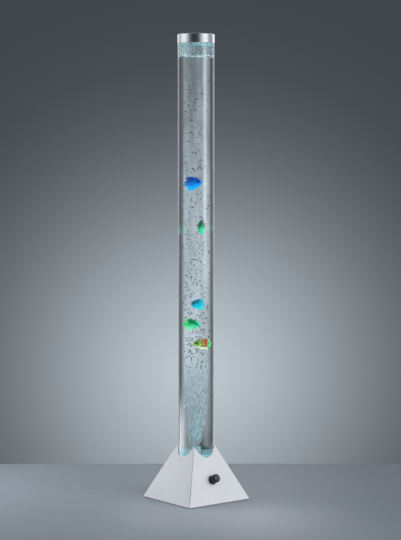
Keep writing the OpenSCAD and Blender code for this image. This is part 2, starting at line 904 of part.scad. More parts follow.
module cap_shell() {
  color([0.86, 0.87, 0.88]) rotate_extrude() difference() {
    union() {
      translate([0, cap_low]) square([cap_r, cap_height - cap_round]);
      translate([0, cap_low]) square([cap_r - cap_round, cap_height]);
      translate([cap_r - cap_round, lamp_height - cap_round]) circle(r = cap_round);
    }
    translate([-through, cap_low - through])
      square([cap_bore_r + through, cap_height + through - cap_wall]);
    translate([-through, cap_low]) square([vent_diameter / 2 + through, cap_height + through]);
  }
}

// Moulded insert: flange over the tube's end and a skirt inside it
module cap_insert() {
  color([0.92, 0.93, 0.92]) rotate_extrude() difference() {
    union() {
      translate([0, tube_top + cap_gap]) square([cap_bore_r, insert_flange]);
      translate([0, skirt_low]) square([skirt_r, tube_top + cap_gap - skirt_low + through]);
    }
    translate([-through, skirt_low - through])
      square([skirt_r - skirt_wall + through, tube_top - skirt_low - insert_top_t]);
    translate([-through, skirt_low]) square([vent_diameter / 2 + through, lamp_height - skirt_low]);
    translate([skirt_r - groove_in, tube_top - cap_seal_drop - cap_seal_r - cap_seal_room])
      square([cap_bore_r, 2 * (cap_seal_r + cap_seal_room)]);
  }
}

module cap_seal() {
  color([0.15, 0.15, 0.15]) translate([0, 0, tube_top - cap_seal_drop]) rotate_extrude()
    translate([skirt_r - groove_in + cap_seal_r, 0]) circle(r = cap_seal_r);
}

// Toy fish: lofted body, fins and eyes. Nose towards +X, thickness along Y
fish_stations = 14;
fish_ring = 16;
function fish_s(i) = (1 - cos(180 * i / (fish_stations - 1))) / 2;
function fish_outline(s) = 0.03 + 0.97 * pow(max(0, sin(172 * pow(s, 0.85))), 0.85);
function fish_girth(s) = 0.05 + 0.95 * pow(max(0, sin(176 * pow(s, 0.75))), 1.1);
function fish_point(s, a, length, high, wide) = [
  length * (0.5 - 0.74 * s),
  wide * fish_girth(s) * cos(a) * pow(abs(cos(a)), 0.25),
  high * fish_outline(s) * sin(a)
];

module fish_body(length, high, wide) {
  n = fish_ring;
  m = fish_stations;
  points = [for (i = [0:m - 1], k = [0:n - 1])
    fish_point(fish_s(i), 360 * k / n + 180 / n, length, high, wide)];
  sides = [for (i = [0:m - 2], k = [0:n - 1], t = [0, 1]) t == 0
    ? [i * n + k, i * n + (k + 1) % n, (i + 1) * n + (k + 1) % n]
    : [i * n + k, (i + 1) * n + (k + 1) % n, (i + 1) * n + k]];
  nose = [for (k = [1:n - 2]) [0, k + 1, k]];
  tail = [for (k = [1:n - 2]) [(m - 1) * n, (m - 1) * n + k, (m - 1) * n + k + 1]];
  polyhedron(points, concat(sides, nose, tail));
}

module fin(points, thick) {
  rotate([90, 0, 0]) linear_extrude(thick, center = true) polygon(points);
}

module fish(shape) {
  l = shape[0];
  h = shape[1];
  w = fish_thickness / 2;
  union() {
    fish_body(l, body_share * h, w - body_in);
    fin([[0.2 * l, 0.2 * h], [0.1 * l, 0.33 * h], [-0.02 * l, 0.43 * h], [-0.14 * l, 0.49 * h],
      [-0.26 * l, 0.5 * h], [-0.33 * l, 0.47 * h], [-0.27 * l, 0.4 * h], [-0.235 * l, 0.3 * h],
      [-0.22 * l, 0.18 * h], [-0.2 * l, 0.05 * h], [0, 0.1 * h]], fin_t);
    fin([[0.12 * l, -0.24 * h], [0.06 * l, -0.36 * h], [-0.06 * l, -0.43 * h],
      [-0.2 * l, -0.5 * h], [-0.29 * l, -0.49 * h], [-0.25 * l, -0.4 * h],
      [-0.225 * l, -0.28 * h], [-0.21 * l, -0.15 * h], [-0.19 * l, -0.05 * h], [0, -0.1 * h]], fin_t);
    fin([[-0.18 * l, 0.05 * h], [-0.26 * l, 0.07 * h], [-0.36 * l, 0.15 * h],
      [-0.5 * l, 0.23 * h], [-0.475 * l, 0.12 * h], [-0.44 * l, 0], [-0.475 * l, -0.12 * h],
      [-0.5 * l, -0.23 * h], [-0.36 * l, -0.15 * h], [-0.26 * l, -0.07 * h],
      [-0.18 * l, -0.05 * h]], thin_fin_t);
    translate([0.33 * l, 0, 0.05 * h]) rotate([90, 0, 0])
      cylinder(r = eye_r, h = 2 * (w - eye_in), center = true);
    for (s = [0, 1]) mirror([0, s, 0]) translate([0.1 * l, w - side_fin_in, -0.08 * h])
      rotate([0, 0, side_fin_turn])
        fin([[0.02 * l, 0.03 * h], [-0.06 * l, 0.07 * h], [-0.14 * l, 0.05 * h],
          [-0.17 * l, -0.03 * h], [-0.1 * l, -0.09 * h], [0, -0.05 * h]], thin_fin_t);
  }
}

// A fish in its lane, which runs up the tube's whole water space
module in_lane(shape, z) {
  rotate([0, 0, lane_turn]) translate([shape[2] * fish_scale, shape[3] * lane_pitch * fish_scale, z])
    rotate([0, 0, shape[4] < 0 ? 180 : 0]) rotate([0, -shape[5], 0]) scale(fish_scale) fish(shape);
}

module fish_blue() {
  color([0.1, 0.45, 0.95]) in_lane(blue_fish, blue_z);
}

module fish_green() {
  color([0.1, 0.7, 0.5]) rotate([0, 0, lane_turn])
    translate([green_fish[2] * fish_scale, green_fish_v * fish_scale, green_z])
      rotate([0, 0, -90]) scale(fish_scale) fish(green_fish);
}

module fish_turquoise() {
  color([0.1, 0.85, 0.9]) in_lane(turquoise_fish, turquoise_z);
}

module fish_lime() {
  color([0.35, 0.85, 0.45]) in_lane(lime_fish, lime_z);
}

module fish_striped() {
  color([0.75, 0.8, 0.35]) in_lane(striped_fish, striped_z);
}

// Swept hoses and leads: a smooth line through the route's points, then rings along it
function spline(p, i, t) =
  let (a = p[max(i - 1, 0)], b = p[i], c = p[i + 1], d = p[min(i + 2, len(p) - 1)])
  0.5 * (2 * b + (c - a) * t + (2 * a - 5 * b + 4 * c - d) * t * t
    + (3 * b - a - 3 * c + d) * t * t * t);
function smooth(p, k) =
  concat([for (i = [0:len(p) - 2], j = [0:k - 1]) spline(p, i, j / k)], [p[len(p) - 1]]);
function unit(v) = v / norm(v);
function ahead(p, i) = unit(p[min(i + 1, len(p) - 1)] - p[max(i - 1, 0)]);
function upright(side, t) = unit(side - (side * t) * t);
function sides_of(p, side, i = 0) = i >= len(p) ? [] :
  let (s = upright(side, ahead(p, i))) concat([s], sides_of(p, s, i + 1));
function rings_of(p, side, r, n) =
  let (s = sides_of(p, side))
  [for (i = [0:len(p) - 1], k = [0:n - 1])
    let (t = ahead(p, i)) p[i] + r * (cos(360 * k / n) * s[i] + sin(360 * k / n) * cross(t, s[i]))];
function wall_faces(m, n, from, flip) = [for (i = [0:m - 2], k = [0:n - 1], t = [0, 1])
  let (a = from + i * n + k, b = from + i * n + (k + 1) % n, c = b + n, d = a + n)
  t == 0 ? (flip ? [a, b, c] : [a, c, b]) : (flip ? [a, c, d] : [a, d, c])];

// Solid lead along a line
module lead(route, side) {
  p = smooth(route, 2);
  n = lead_sides;
  m = len(p);
  start = [for (k = [1:n - 2]) [0, k, k + 1]];
  finish = [for (k = [1:n - 2]) [(m - 1) * n, (m - 1) * n + k + 1, (m - 1) * n + k]];
  polyhedron(rings_of(p, side, lead_r, n), concat(wall_faces(m, n, 0, false), start, finish));
}

// Hollow hose along a line
module hose(p, side) {
  n = hose_sides;
  m = len(p);
  o = m * n;
  l = (m - 1) * n;
  start = [for (k = [0:n - 1], t = [0, 1]) let (j = (k + 1) % n)
    t == 0 ? [k, j, o + j] : [k, o + j, o + k]];
  finish = [for (k = [0:n - 1], t = [0, 1]) let (j = (k + 1) % n)
    t == 0 ? [l + k, o + l + j, l + j] : [l + k, o + l + k, o + l + j]];
  polyhedron(concat(rings_of(p, side, hose_r, n), rings_of(p, side, hose_bore, n)),
    concat(wall_faces(m, n, 0, false), wall_faces(m, n, o, true), start, finish));
}

// Where a point of a leaning face's own frame lies: up the face and out along its normal
function front_point(up, out) = [knob_x,
  -outer_at(knob_z) + up * sin(face_lean) - out * cos(face_lean),
  knob_z + up * cos(face_lean) + out * sin(face_lean)];
function rear_point(out) = [jack_x, outer_at(jack_z) + out * cos(face_lean),
  jack_z + out * sin(face_lean)];

check_tip = check_front - check_barb;
function by_valve(x, y, z) = [valve_x + x, pump_y + y, z];
hose_route = [by_valve(0, check_front, nozzle_z), by_valve(0, check_tip - 0.5, nozzle_z),
  by_valve(0, check_tip - 3, nozzle_z), by_valve(1, -76, 16), by_valve(4, -79, 23),
  by_valve(6, -76.5, 33), by_valve(7, -68, 43), by_valve(5, -54, 51), by_valve(-1, -38, 55),
  [4, -18, 57], [0.5, -5, 63], [0, 0, 72], [0, 0, 84], [0, 0, plug_low - barb_len - 1],
  [0, 0, plug_low]];
inlet_lead_route = [rear_point(jack_in - jack_tag_l - 0.2), rear_point(jack_in - 2 * jack_tag_l),
  [jack_x - 8, power_in_y - 1, 14.8],
  [power_in_x + 4.7, power_in_y, plug_in_z], [power_in_x, power_in_y, plug_in_z]];
coil_side = core_t / 2 + coil_build;
pump_lead_route = [[coil_lead_x, pump_y + coil_side + 0.2, pump_mid],
  [coil_lead_x, pump_y + coil_side + 10.5, pump_mid], [coil_lead_x + 2, pump_y + 34, 21],
  [socket_x[1] - 1, plug_in_y - 6.2, plug_in_z], [socket_x[1], plug_in_y, plug_in_z]];
led_lead_x = socket_x[2];
led_lead_route = [[9.5, 9.5, pedestal_top], [6.5, 7, 77], [6, 7, 65], [led_lead_x, 18, 55],
  [led_lead_x, 36, 52], [led_lead_x, plug_in_y - 5.7, 40], [led_lead_x, plug_in_y - 5.2, 24],
  [led_lead_x, plug_in_y - 4.2, plug_in_z], [led_lead_x, plug_in_y, plug_in_z]];
dial_lead_route = [front_point(-pot_r - tag_out - 0.3, -sheet - tag_in + tag_t / 2),
  front_point(-pot_r - 12, -sheet - tag_in), [-20, -68, 22], [-40, -56, 12], [-57, -34, 8],
  [-60, 0, 7], [-56, 30, 9], [-38, 45, 15], [socket_x[0] - 2, plug_in_y - 5.2, plug_in_z],
  [socket_x[0], plug_in_y, plug_in_z]];

module air_hose_lower() {
  color([0.85, 0.88, 0.9]) hose([by_valve(0, nozzle_tip + 8, nozzle_z),
    by_valve(0, nozzle_tip - 0.5, nozzle_z), by_valve(0, check_back, nozzle_z)], [1, 0, 0]);
}

module air_hose_upper() {
  color([0.85, 0.88, 0.9]) hose(smooth(hose_route, 2), [1, 0, 0]);
}

module inlet_lead() {
  color([0.1, 0.1, 0.1]) lead(inlet_lead_route, [0, 0, 1]);
}

module pump_lead() {
  color([0.1, 0.1, 0.1]) lead(pump_lead_route, [1, 0, 0]);
}

module led_lead() {
  color([0.9, 0.9, 0.9]) lead(led_lead_route, [1, 0, 0]);
}

module dial_lead() {
  color([0.5, 0.5, 0.52]) lead(dial_lead_route, [0, 0, 1]);
}

base_cover_front();
base_cover_rear();
seam_strips();
base_plate();
base_screws();
holder_screws();
rubber_feet();
tube_holder();
bottom_plug();
plug_seal();
air_stone();
led_board();
leds();
led_board_screws();
tube();
pump_case();
pump_lid();
pump_core();
pump_coil();
pump_lever();
pump_magnet();
pump_pin();
pump_valve_block();
pump_diaphragm();
pump_pads();
pump_screws();
check_valve();
valve_clip();
control_board();
board_components();
board_standoffs();
board_screws();
potentiometer();
control_nut();
control_shaft();
knob();
knob_cap();
power_inlet();
inlet_nut();
cap_shell();
cap_insert();
cap_seal();
fish_blue();
fish_green();
fish_turquoise();
fish_lime();
fish_striped();
air_hose_lower();
air_hose_upper();
inlet_lead();
pump_lead();
led_lead();
dial_lead();
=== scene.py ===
"""Looks of a bubble tube floor lamp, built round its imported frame.

Metres, +Z up. The origin is on the floor, on the axis of the tube; the knob faces -Y.
"""

import sys

import json
import logging
import math
from dataclasses import dataclass, field
from enum import Enum
from typing import Any, Iterable, Sequence

import bmesh
import bpy
from mathutils import Matrix, Vector

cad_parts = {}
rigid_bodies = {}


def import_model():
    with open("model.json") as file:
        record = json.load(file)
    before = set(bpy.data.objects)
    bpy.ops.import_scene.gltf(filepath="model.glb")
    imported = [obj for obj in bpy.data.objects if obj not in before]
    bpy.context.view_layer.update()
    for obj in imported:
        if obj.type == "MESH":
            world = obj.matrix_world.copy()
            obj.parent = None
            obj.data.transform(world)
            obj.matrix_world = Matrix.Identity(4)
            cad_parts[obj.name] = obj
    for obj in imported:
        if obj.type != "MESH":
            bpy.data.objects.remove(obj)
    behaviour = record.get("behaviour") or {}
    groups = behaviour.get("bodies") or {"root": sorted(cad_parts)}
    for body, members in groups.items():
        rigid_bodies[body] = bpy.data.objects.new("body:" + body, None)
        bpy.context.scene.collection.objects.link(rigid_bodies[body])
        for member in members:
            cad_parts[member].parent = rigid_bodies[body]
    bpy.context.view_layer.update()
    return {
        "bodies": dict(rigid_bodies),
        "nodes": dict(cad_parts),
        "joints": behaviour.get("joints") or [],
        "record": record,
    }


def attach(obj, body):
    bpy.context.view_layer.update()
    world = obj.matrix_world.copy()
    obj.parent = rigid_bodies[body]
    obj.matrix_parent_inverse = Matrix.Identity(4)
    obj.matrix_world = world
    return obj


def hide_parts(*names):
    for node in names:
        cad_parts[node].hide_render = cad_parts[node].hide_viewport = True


LOG = logging.getLogger("bubble_tube_lamp")

Colour = tuple[float, float, float, float]
Point = tuple[float, float, float]

MM = 0.001
BLACK: Colour = (0.0, 0.0, 0.0, 1.0)
AXIS_TO_CAMERA = (-0.6169, -0.7870)
LANE_TURN = math.radians(-38.0)
LANE_PITCH = 11 * MM
BORE_RADIUS = 43.5 * MM
PLUG_TOP = 125 * MM
STONE_TOP = 138 * MM
WATER_LINE = 1146.5 * MM
SKIRT_LOW = 1169 * MM


def paint(red: float, green: float, blue: float) -> Colour:
    """Turns a display colour into a linear one.

    Args:
        red: Red, 0 to 255.
        green: Green, 0 to 255.
        blue: Blue, 0 to 255.

    Returns:
        The linear colour with full alpha.
    """

    def linear(value: float) -> float:
        """Linear share of one display channel."""
        share = value / 255
        return share / 12.92 if share <= 0.04045 else ((share + 0.055) / 1.055) ** 2.4

    return (linear(red), linear(green), linear(blue), 1.0)


def rightward(x: Any, y: Any) -> Any:
    """How far a place or direction lies to the right, as the photograph's camera sees it.

    Args:
        x: Its X, as a number or a reading.
        y: Its Y.

    Returns:
        The share along the camera's right, of the same kind.
    """
    return x * -AXIS_TO_CAMERA[1] + y * AXIS_TO_CAMERA[0]


class Reading:
    """A number socket of a node tree, on which Python arithmetic adds Math nodes."""

    def __init__(self, bench: "Bench", socket: bpy.types.NodeSocket) -> None:
        """Wraps one socket of the bench's tree."""
        self.bench = bench
        self.socket = socket

    def __add__(self, other: Any) -> "Reading":
        """Sum."""
        return self.bench.maths("ADD", self, other)

    __radd__ = __add__

    def __sub__(self, other: Any) -> "Reading":
        """Difference."""
        return self.bench.maths("SUBTRACT", self, other)

    def __rsub__(self, other: Any) -> "Reading":
        """Difference from a plain number."""
        return self.bench.maths("SUBTRACT", other, self)

    def __mul__(self, other: Any) -> "Reading":
        """Product."""
        return self.bench.maths("MULTIPLY", self, other)

    __rmul__ = __mul__

    def __truediv__(self, other: Any) -> "Reading":
        """Quotient."""
        return self.bench.maths("DIVIDE", self, other)

    def __pow__(self, other: Any) -> "Reading":
        """Power."""
        return self.bench.maths("POWER", self, other)

    def magnitude(self) -> "Reading":
        """Absolute value."""
        return self.bench.maths("ABSOLUTE", self)

    def wave(self) -> "Reading":
        """Sine, in radians."""
        return self.bench.maths("SINE", self)

    def above(self, edge: Any) -> "Reading":
        """1 where the value is over the edge, else 0."""
        return self.bench.maths("GREATER_THAN", self, edge)

    def bell(self, reach: float) -> "Reading":
        """Bell curve that is 1 at zero and has fallen to 0.37 at the reach."""
        scaled = self / reach
        return self.bench.maths("EXPONENT", scaled * scaled * -1.0)

    def between(self, low: float, high: float) -> "Reading":
        """Smooth step from 0 at low to 1 at high; low may be the larger one."""
        node = self.bench.node(
            "ShaderNodeMapRange",
            {"interpolation_type": "SMOOTHSTEP"},
            {"Value": self, "From Min": low, "From Max": high},
        )
        return Reading(self.bench, node.outputs["Result"])


class Bench:
    """Adds and links the nodes of one shader or geometry tree."""

    def __init__(self, tree: bpy.types.NodeTree) -> None:
        """Takes the tree to work on."""
        self.tree = tree

    def node(
        self,
        kind: str,
        settings: dict[str, Any] | None = None,
        inputs: dict[Any, Any] | None = None,
    ) -> bpy.types.Node:
        """Adds one node.

        Args:
            kind: Blender's name for the node type.
            settings: Properties set first; "stops" holds a ramp's places and colours.
            inputs: Values or links of its sockets, by name or number.

        Returns:
            The new node.
        """
        made = self.tree.nodes.new(kind)
        for name, value in (settings or {}).items():
            if name == "stops":
                ramp = made.color_ramp
                while len(ramp.elements) < len(value):
                    ramp.elements.new(0.5)
                for element, (place, colour) in zip(ramp.elements, value):
                    element.position = place
                    element.color = colour
            else:
                setattr(made, name, value)
        for key, value in (inputs or {}).items():
            if isinstance(value, Reading):
                value = value.socket
            if isinstance(value, bpy.types.NodeSocket):
                self.tree.links.new(value, made.inputs[key])
            else:
                made.inputs[key].default_value = value
        return made

    def maths(self, operation: str, *values: Any) -> Reading:
        """Adds a Math node over numbers and readings."""
        node = self.node("ShaderNodeMath", {"operation": operation}, dict(enumerate(values)))
        return Reading(self, node.outputs[0])

    def blend(self, share: Any, first: Any, second: Any) -> bpy.types.NodeSocket:
        """Mixes two colours.

        Args:
            share: How much of the second colour shows, 0 to 1.
            first: The first colour, as a value or a socket.
            second: The second one.

        Returns:
            The colour socket.
        """
        made = self.node(
            "ShaderNodeMix", {"data_type": "RGBA"}, {0: share, 6: first, 7: second}
        )
        return made.outputs[2]


class Shade(Bench):
    """The shader tree of one finish."""

    def __init__(self, name: str) -> None:
        """Makes an empty material with its output node."""
        self.material = bpy.data.materials.new(name)
        self.material.use_nodes = True
        super().__init__(self.material.node_tree)
        self.tree.nodes.clear()
        self.output = self.node("ShaderNodeOutputMaterial")

    def spot(
        self, origin: Point = (0, 0, 0), turn: Matrix | None = None, scale: Point = (1, 1, 1)
    ) -> bpy.types.NodeSocket:
        """Object coordinates measured from an origin, in turned axes.

        Args:
            origin: The point that becomes zero.
            turn: Rotation of the piece's own axes, or None.
            scale: Stretch of the three axes, applied last.

        Returns:
            The vector socket.
        """
        coordinates = self.node("ShaderNodeTexCoord").outputs["Object"]
        moved = self.node(
            "ShaderNodeVectorMath", {"operation": "SUBTRACT"}, {0: coordinates, 1: origin}
        ).outputs[0]
        if turn is not None:
            angles = turn.to_3x3().inverted().to_euler("XYZ")
            moved = self.node(
                "ShaderNodeMapping", {}, {"Vector": moved, "Rotation": tuple(angles)}
            ).outputs[0]
        return self.node(
            "ShaderNodeVectorMath", {"operation": "MULTIPLY"}, {0: moved, 1: scale}
        ).outputs[0]

    def parts(self, vector: bpy.types.NodeSocket) -> tuple[Reading, Reading, Reading]:
        """The three numbers of a vector."""
        split = self.node("ShaderNodeSeparateXYZ", {}, {0: vector})
        return tuple(Reading(self, s) for s in split.outputs)  # type: ignore[return-value]

    def noise(
        self, vector: bpy.types.NodeSocket, scale: float, detail: float = 3, rough: float = 0.5
    ) -> Reading:
        """Cloudy noise, 0 to 1.

        Args:
            vector: The coordinates that it is laid on.
            scale: Number of clouds to a metre.
            detail: Number of finer layers.
            rough: Weight of the finer layers.

        Returns:
            The strength of the noise.
        """
        made = self.node(
            "ShaderNodeTexNoise",
            {},
            {"Vector": vector, "Scale": scale, "Detail": detail, "Roughness": rough},
        )
        return Reading(self, made.outputs["Fac"])

    def cells(self, vector: bpy.types.NodeSocket, scale: float) -> Reading:
        """Distance to the nearest of scattered points."""
        made = self.node("ShaderNodeTexVoronoi", {}, {"Vector": vector, "Scale": scale})
        return Reading(self, made.outputs["Distance"])

    def bump(self, height: Reading, depth: float, strength: float = 1.0) -> bpy.types.NodeSocket:
        """A normal bent by a relief.

        Args:
            height: The relief, in its own units.
            depth: How many metres one unit stands for.
            strength: Share of the effect that is used.

        Returns:
            The normal socket.
        """
        made = self.node(
            "ShaderNodeBump", {}, {"Height": height, "Distance": depth, "Strength": strength}
        )
        return made.outputs[0]

    def surface(self, **sockets: Any) -> bpy.types.Node:
        """Adds the Principled shader; underscores in a socket's name stand for spaces."""
        named = {name.replace("_", " "): value for name, value in sockets.items()}
        return self.node("ShaderNodeBsdfPrincipled", {}, named)

    def close(self, shader: bpy.types.Node, lets_lamps_through: Colour | None = None) -> None:
        """Links the shader to the output.

        Args:
            shader: The surface shader.
            lets_lamps_through: Tint with which lamps shine through, or None if they don't.
        """
        last = shader.outputs[0]
        if lets_lamps_through:
            rays = self.node("ShaderNodeLightPath").outputs["Is Shadow Ray"]
            open_way = self.node("ShaderNodeBsdfTransparent", {}, {0: lets_lamps_through})
            mixed = self.node(
                "ShaderNodeMixShader", {}, {0: rays, 1: last, 2: open_way.outputs[0]}
            )
            last = mixed.outputs[0]
        self.tree.links.new(last, self.output.inputs["Surface"])


MADE: dict[str, bpy.types.Material] = {}


@dataclass(frozen=True)
class Finish:
    """A named surface finish, made once and shared by the pieces that have it."""

    name: str

    def material(self) -> bpy.types.Material:
        """The finish's material."""
        if self.name not in MADE:
            shade = Shade(self.name)
            self.lay(shade)
            MADE[self.name] = shade.material
        return MADE[self.name]

    def lay(self, shade: Shade) -> None:
        """Builds the nodes of the finish."""
        raise NotImplementedError


@dataclass(frozen=True)
class PowderCoat(Finish):
    """Baked coat on sheet metal, with its fine orange peel."""

    tint: Colour = paint(226, 227, 231)
    shade_tint: Colour = paint(219, 221, 226)

    def lay(self, shade: Shade) -> None:
        """Pale coat with faint clouds and a fine pebbled surface."""
        spot = shade.spot()
        clouds = shade.noise(spot, 9, 4, 0.6)
        peel = shade.noise(spot, 1500, 2, 0.6)
        colour = shade.blend(clouds.between(0.3, 0.7), self.tint, self.shade_tint)
        shader = shade.surface(
            Base_Color=colour,
            Roughness=clouds * 0.08 + peel * 0.06 + 0.34,
            Normal=shade.bump(peel, 0.00005, 0.5),
            IOR=1.5,
        )
        shade.close(shader)


class Brushing(Enum):
    """How a metal's fine lines run."""

    ROUND = "round"
    ALONG = "along"
    CAST = "cast"


@dataclass(frozen=True)
class Metal(Finish):
    """Bare or plated metal."""

    tint: Colour = paint(200, 202, 205)
    rough: float = 0.3
    brushing: Brushing = Brushing.CAST
    grain: float = 0.15

    def lay(self, shade: Shade) -> None:
        """Metal with brushed lines or a cast grain, and faint handling marks."""
        spot = shade.spot()
        x, y, z = shade.parts(spot)
        if self.brushing is Brushing.ROUND:
            angle = shade.maths("ARCTAN2", y, x)
            rings = {0: angle * 0.35, 1: 0.0, 2: z * 2600}
            lined = shade.node("ShaderNodeCombineXYZ", {}, rings)
            lines = shade.noise(lined.outputs[0], 1, 2, 0.7)
        elif self.brushing is Brushing.ALONG:
            lines = shade.noise(shade.spot(scale=(1, 60, 60)), 45, 2, 0.7)
        else:
            lines = shade.noise(spot, 900, 3, 0.6)
        marks = shade.noise(spot, 35, 3, 0.55)
        dull = tuple(c * 0.82 for c in self.tint[:3]) + (1.0,)
        shader = shade.surface(
            Base_Color=shade.blend(lines.between(0.35, 0.7) * 0.5, self.tint, dull),
            Metallic=1.0,
            Roughness=lines * self.grain + marks * 0.08 + (self.rough - 0.1),
            Normal=shade.bump(lines, 0.00002, 0.35),
        )
        shade.close(shader)


@dataclass(frozen=True)
class Moulded(Finish):
    """Moulded or extruded plastic and rubber."""

    tint: Colour = paint(30, 31, 33)
    rough: float = 0.45
    texture: float = 1800.0
    # glow and glow_tint give a painted glow, for light that the lamps scatter inside a moulding.
    glow: float = 0.0
    glow_tint: Colour = paint(120, 215, 220)

    def lay(self, shade: Shade) -> None:
        """Plastic with a fine spark-eroded texture and slow colour drift."""
        spot = shade.spot()
        fine = shade.noise(spot, self.texture, 2, 0.6)
        slow = shade.noise(spot, 60, 3, 0.5)
        lighter = tuple(min(1.0, c * 1.25 + 0.004) for c in self.tint[:3]) + (1.0,)
        shader = shade.surface(
            Base_Color=shade.blend(slow.between(0.35, 0.75) * 0.7, self.tint, lighter),
            Roughness=fine * 0.16 + slow * 0.08 + (self.rough - 0.1),
            Normal=shade.bump(fine, 0.00006, 0.5),
            IOR=1.49,
            Emission_Color=self.glow_tint,
            Emission_Strength=self.glow,
        )
        shade.close(shader)


@dataclass(frozen=True)
class ClearPlastic(Finish):
    """Clear acrylic, with the faint draw lines of an extruded tube."""

    tint: Colour = (0.985, 0.995, 0.995, 1.0)
    rough: float = 0.0
    draw_depth: float = 0.0
    glow_tint: Colour = BLACK
    spray_from: float = 2.0
    spray_glow_tint: Colour = paint(152, 170, 180)

    def lay(self, shade: Shade) -> None:
        """Clear body with long draw lines; spray fogs its inner side above the water.

        The fogged drops carry a painted glow, painted brighter on the photograph's left, as it is
        seen there; a glow tint paints a glow over the whole body.
        """
        lines = shade.noise(shade.spot(scale=(1, 1, 0.012)), 420, 3, 0.6)
        spot = shade.spot()
        x, y, z = shade.parts(spot)
        haze = shade.noise(spot, 70, 4, 0.6)
        inside = ((x * x + y * y) ** 0.5).between(BORE_RADIUS + 1 * MM, BORE_RADIUS + 0.5 * MM)
        drops = shade.cells(spot, 620).between(0.62, 0.3) * (haze * 0.9 + 0.55)
        # Painted light: this makes the fog's painted glow brighter on the left; the fog itself is
        # not thicker.
        thick = 0.56 + rightward(x, y).between(-6 * MM, -26 * MM) * 0.5
        fogged = inside * z.between(self.spray_from, self.spray_from + 1.5 * MM) * drops
        shader = shade.surface(
            Base_Color=self.tint,
            Roughness=fogged * 0.45 + self.rough,
            Normal=shade.bump(lines, self.draw_depth),
            Transmission_Weight=1.0,
            IOR=1.49,
            # Painted glow of the fogged drops, and of the whole body where it has a glow tint.
            Emission_Color=shade.blend(fogged * thick, self.glow_tint, self.spray_glow_tint),
            Emission_Strength=1.0,
        )
        shade.close(shader, (0.9, 0.95, 0.95, 1.0))


@dataclass(frozen=True)
class StirredWater(Finish):
    """Water kept moving by the bubbles, so that its refraction wanders."""

    tint: Colour = (0.90, 0.92, 0.93, 1.0)
    painted_haze_glow: Colour = (0.284, 0.326, 0.362, 1.0)
    painted_shade_tint: Colour = (0.02, 0.05, 0.06, 1.0)

    def lay(self, shade: Shade) -> None:
        """Water with slow upright swirls, a painted haze glow in its middle and painted shade low on
        the right.
        """
        swirl = shade.noise(shade.spot(scale=(1, 1, 0.22)), 70, 4, 0.6)
        fine = shade.noise(shade.spot(scale=(1, 1, 0.4)), 260, 2, 0.5)
        x, y, height = shade.parts(shade.spot())
        aside = rightward(x, y)
        far_side = Reading(shade, shade.node("ShaderNodeNewGeometry").outputs["Backfacing"])
        # Painted shade: the far side is tinted dark low on the right and just above the plug.
        deep = far_side * self.painted_foot_shade(height, aside)
        # Painted light: the far side of the water glows in its middle, weighted by facing.
        milky = far_side * self.painted_haze_share(shade, height, aside)
        shader = shade.surface(
            Base_Color=shade.blend(deep, self.tint, self.painted_shade_tint),
            Roughness=swirl * far_side * 0.03,
            Normal=shade.bump((swirl + fine * 0.25) * (far_side * 0.6 + 0.4), 0.0004, 0.5),
            Transmission_Weight=1.0,
            IOR=1.333,
            Emission_Color=shade.blend(milky, BLACK, self.painted_haze_glow),
            Emission_Strength=1.0,
        )
        shade.close(shader, (0.93, 0.985, 0.99, 1.0))

    def painted_haze_share(self, shade: Shade, height: Reading, aside: Reading) -> Reading:
        """The painted glow that stands in for the light that fine bubbles scatter in the middle of
        the water.

        Args:
            shade: The shader tree.
            height: Height above the floor.
            aside: Place across the tube, positive to the photograph's right.

        Returns:
            The strength of the painted haze glow, painted dimmer on the right below 600 mm and
            brighter near the top.
        """
        wisps = shade.noise(shade.spot(scale=(1, 1, 0.1)), 95, 4, 0.62)
        grain = shade.noise(shade.spot(), 620, 2, 0.6)
        facing = Reading(shade, shade.node("ShaderNodeLayerWeight", {}, {0: 0.5}).outputs[1])
        risen = height.between(225 * MM, 375 * MM)
        full = risen * (1 - height.between(820 * MM, 1060 * MM) * 0.42)
        low_right = aside.between(1 * MM, 10 * MM) * height.between(600 * MM, 440 * MM)
        high_right = aside.between(-3 * MM, 7 * MM) * height.between(860 * MM, 1040 * MM)
        painted_haze_dimming = low_right * 0.6 - high_right * 0.4
        middle = (facing - aside * 0.45).between(0.1, 0.064) * (1 - painted_haze_dimming)
        return full * middle * (wisps.between(0.28, 0.72) * 0.62 + grain * 0.3 + 0.42)

    def painted_foot_shade(self, height: Reading, aside: Reading) -> Reading:
        """Painted shade beside the plume, at the foot of the water, in place of the dark room seen
        through it.

        Args:
            height: Height above the floor.
            aside: Place across the tube, positive to the photograph's right.

        Returns:
            The share of the painted shade tint; it is strongest just right of the axis.
        """
        right = aside.between(2 * MM, 7 * MM) * (1 - aside.between(8 * MM, 15 * MM) * 0.55)
        low_right = right * height.between(240 * MM, 150 * MM)
        return low_right * 0.66 + height.between(190 * MM, 145 * MM) * 0.25


@dataclass(frozen=True)
class BubbleFilm(Finish):
    """Air bubble in water: it bends light away, so it shows dark, with some bright glints."""

    dark: Colour = paint(12, 18, 26)
    bright: Colour = paint(206, 224, 230)
    bright_share: float = 0.1
    glow: float = 0.0
    centre_alpha: float = 0.96
    high_fade: float = 0.0

    def lay(self, shade: Shade) -> None:
        """Most bubbles are dark rimmed and the rest catch the light."""
        facing = Reading(shade, shade.node("ShaderNodeLayerWeight", {}, {0: 0.35}).outputs[1])
        island = shade.node("ShaderNodeNewGeometry").outputs["Random Per Island"]
        lit = Reading(shade, island).above(1 - self.bright_share)
        # Painted light: the dark and bright colours and the glow of the lit bubbles stand in for
        # refraction and glints.
        colour = shade.blend(lit, self.dark, self.bright)
        edge = facing.between(0.05, 0.65)
        height = shade.parts(shade.spot())[2]
        solid = 1 - height.between(850 * MM, 1060 * MM) * self.high_fade
        shader = shade.surface(
            Base_Color=colour,
            Roughness=edge * 0.1 + 0.12,
            Alpha=(edge * (1 - self.centre_alpha) + self.centre_alpha) * solid,
            IOR=1.2,
            Emission_Color=shade.blend(lit, BLACK, self.bright),
            Emission_Strength=self.glow,
        )
        shade.close(shader)


